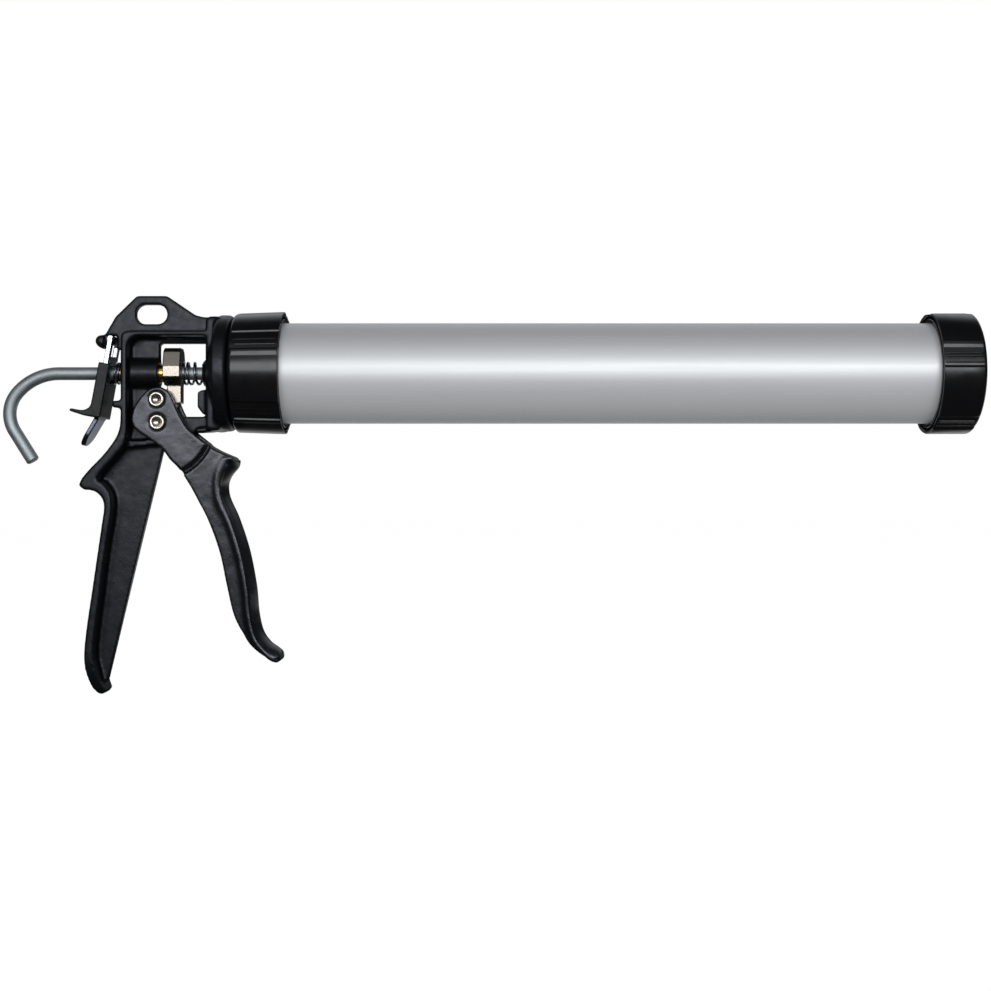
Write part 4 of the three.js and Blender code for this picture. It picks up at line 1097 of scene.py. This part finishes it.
def studio_floor():
    """A pale floor that keeps a faint shadow, white to the eye.

    Reflections see it dark, apart from a white stretch behind the object. It gives the object's underside a
    little light, as a white floor does.
    """
    material = bpy.data.materials.new("pale_floor")
    material.use_nodes = True
    material.node_tree.nodes.clear()
    tree = Nodes(material.node_tree)
    colour = tree.between(rays(tree, "Is Glossy Ray"), (0.8, 0.8, 0.8), (0.1, 0.1, 0.1))
    paint = tree.node("ShaderNodeBsdfDiffuse", {"Color": colour})
    white = tree.node("ShaderNodeEmission", {"Strength": 1.15})
    backwards = tree.part(tree.node("ShaderNodeTexCoord", {}, "Object"), "Y")
    near = ramp(tree, backwards, 0.1, 0.42, 0.0, 0.85)
    far = ramp(tree, backwards, 0.45, 1.0, 1.0, 0.3)
    bounced = tree.math("MULTIPLY", rays(tree, "Is Diffuse Ray"), 0.3)
    white_share = tree.math("MAXIMUM", seen(tree, tree.math("MULTIPLY", near, far)), bounced)
    share = tree.math("MULTIPLY", white_share, 0.85)
    mix = tree.node("ShaderNodeMixShader", {"Fac": share, 1: paint, 2: white})
    output = material.node_tree.nodes.new("ShaderNodeOutputMaterial")
    material.node_tree.links.new(mix, output.inputs["Surface"])

    low, reach = cad_box[0].z - 0.004, 6
    floor = Solid()
    corners = ((-reach, -reach), (reach, -reach), (reach, reach), (-reach, reach))
    floor.bm.faces.new([floor.bm.verts.new((x, y, low)) for x, y in corners])
    obj = floor.object("floor")
    obj.data.materials.append(material)


def studio_room():
    """A dim room. The eye sees it white all round, and reflections see it white high on its far wall."""
    world = bpy.data.worlds.new("room")
    bpy.context.scene.world = world
    world.use_nodes = True
    tree = Nodes(world.node_tree)
    background = world.node_tree.nodes["Background"]
    direction = tree.node("ShaderNodeTexCoord", {}, "Generated")
    high = ramp(tree, tree.part(direction, "Z"), 0.15, 0.6, 0.0, 0.85)
    far = ramp(tree, tree.part(direction, "Y"), 0.3, 0.8, 0.0, 1.0)
    room = tree.math("ADD", tree.math("MULTIPLY", rays(tree, "Is Diffuse Ray"), 0.12), 0.035)
    white_share = seen(tree, tree.math("MULTIPLY", high, far))
    strength = tree.node("ShaderNodeMix", {"Factor": white_share, "A": room, "B": 1.0}, "Result")
    tint = tree.between(seen(tree), (0.92, 0.96, 1.0), (1.0, 1.0, 1.0))
    world.node_tree.links.new(strength, background.inputs["Strength"])
    world.node_tree.links.new(tint, background.inputs["Color"])


def softbox(name, place, aim, size, power):
    lamp = bpy.data.lights.new(name, "AREA")
    lamp.shape, lamp.size, lamp.size_y, lamp.energy = "RECTANGLE", *size, power
    lamp.color = (0.96, 0.98, 1.0)
    obj = bpy.data.objects.new(name, lamp)
    obj.visible_camera = False
    obj.location = place
    obj.rotation_euler = (Vector(aim) - Vector(place)).to_track_quat("-Z", "Y").to_euler()
    bpy.context.scene.collection.objects.link(obj)


def straight_on_camera():
    camera = bpy.data.cameras.new("camera")
    camera.lens, camera.sensor_width = 53.76, 36.0
    obj = bpy.data.objects.new("camera", camera)
    obj.location = (0.1853, -0.7992, -0.0976)
    obj.rotation_euler = (math.radians(90), 0, 0)
    bpy.context.scene.collection.objects.link(obj)
    bpy.context.scene.camera = obj


studio_floor()
studio_room()
softbox("front_softbox", (0.335, -1.65, 0.25), (0.25, 0.0, -0.03), (2.2, 0.54), 19.5)
softbox("upper_softbox", (0.18, -1.38, 1.13), (0.18, 0.0, -0.03), (3.0, 0.96), 4.5)
straight_on_camera()
bpy.context.scene.view_settings.view_transform = "Standard"
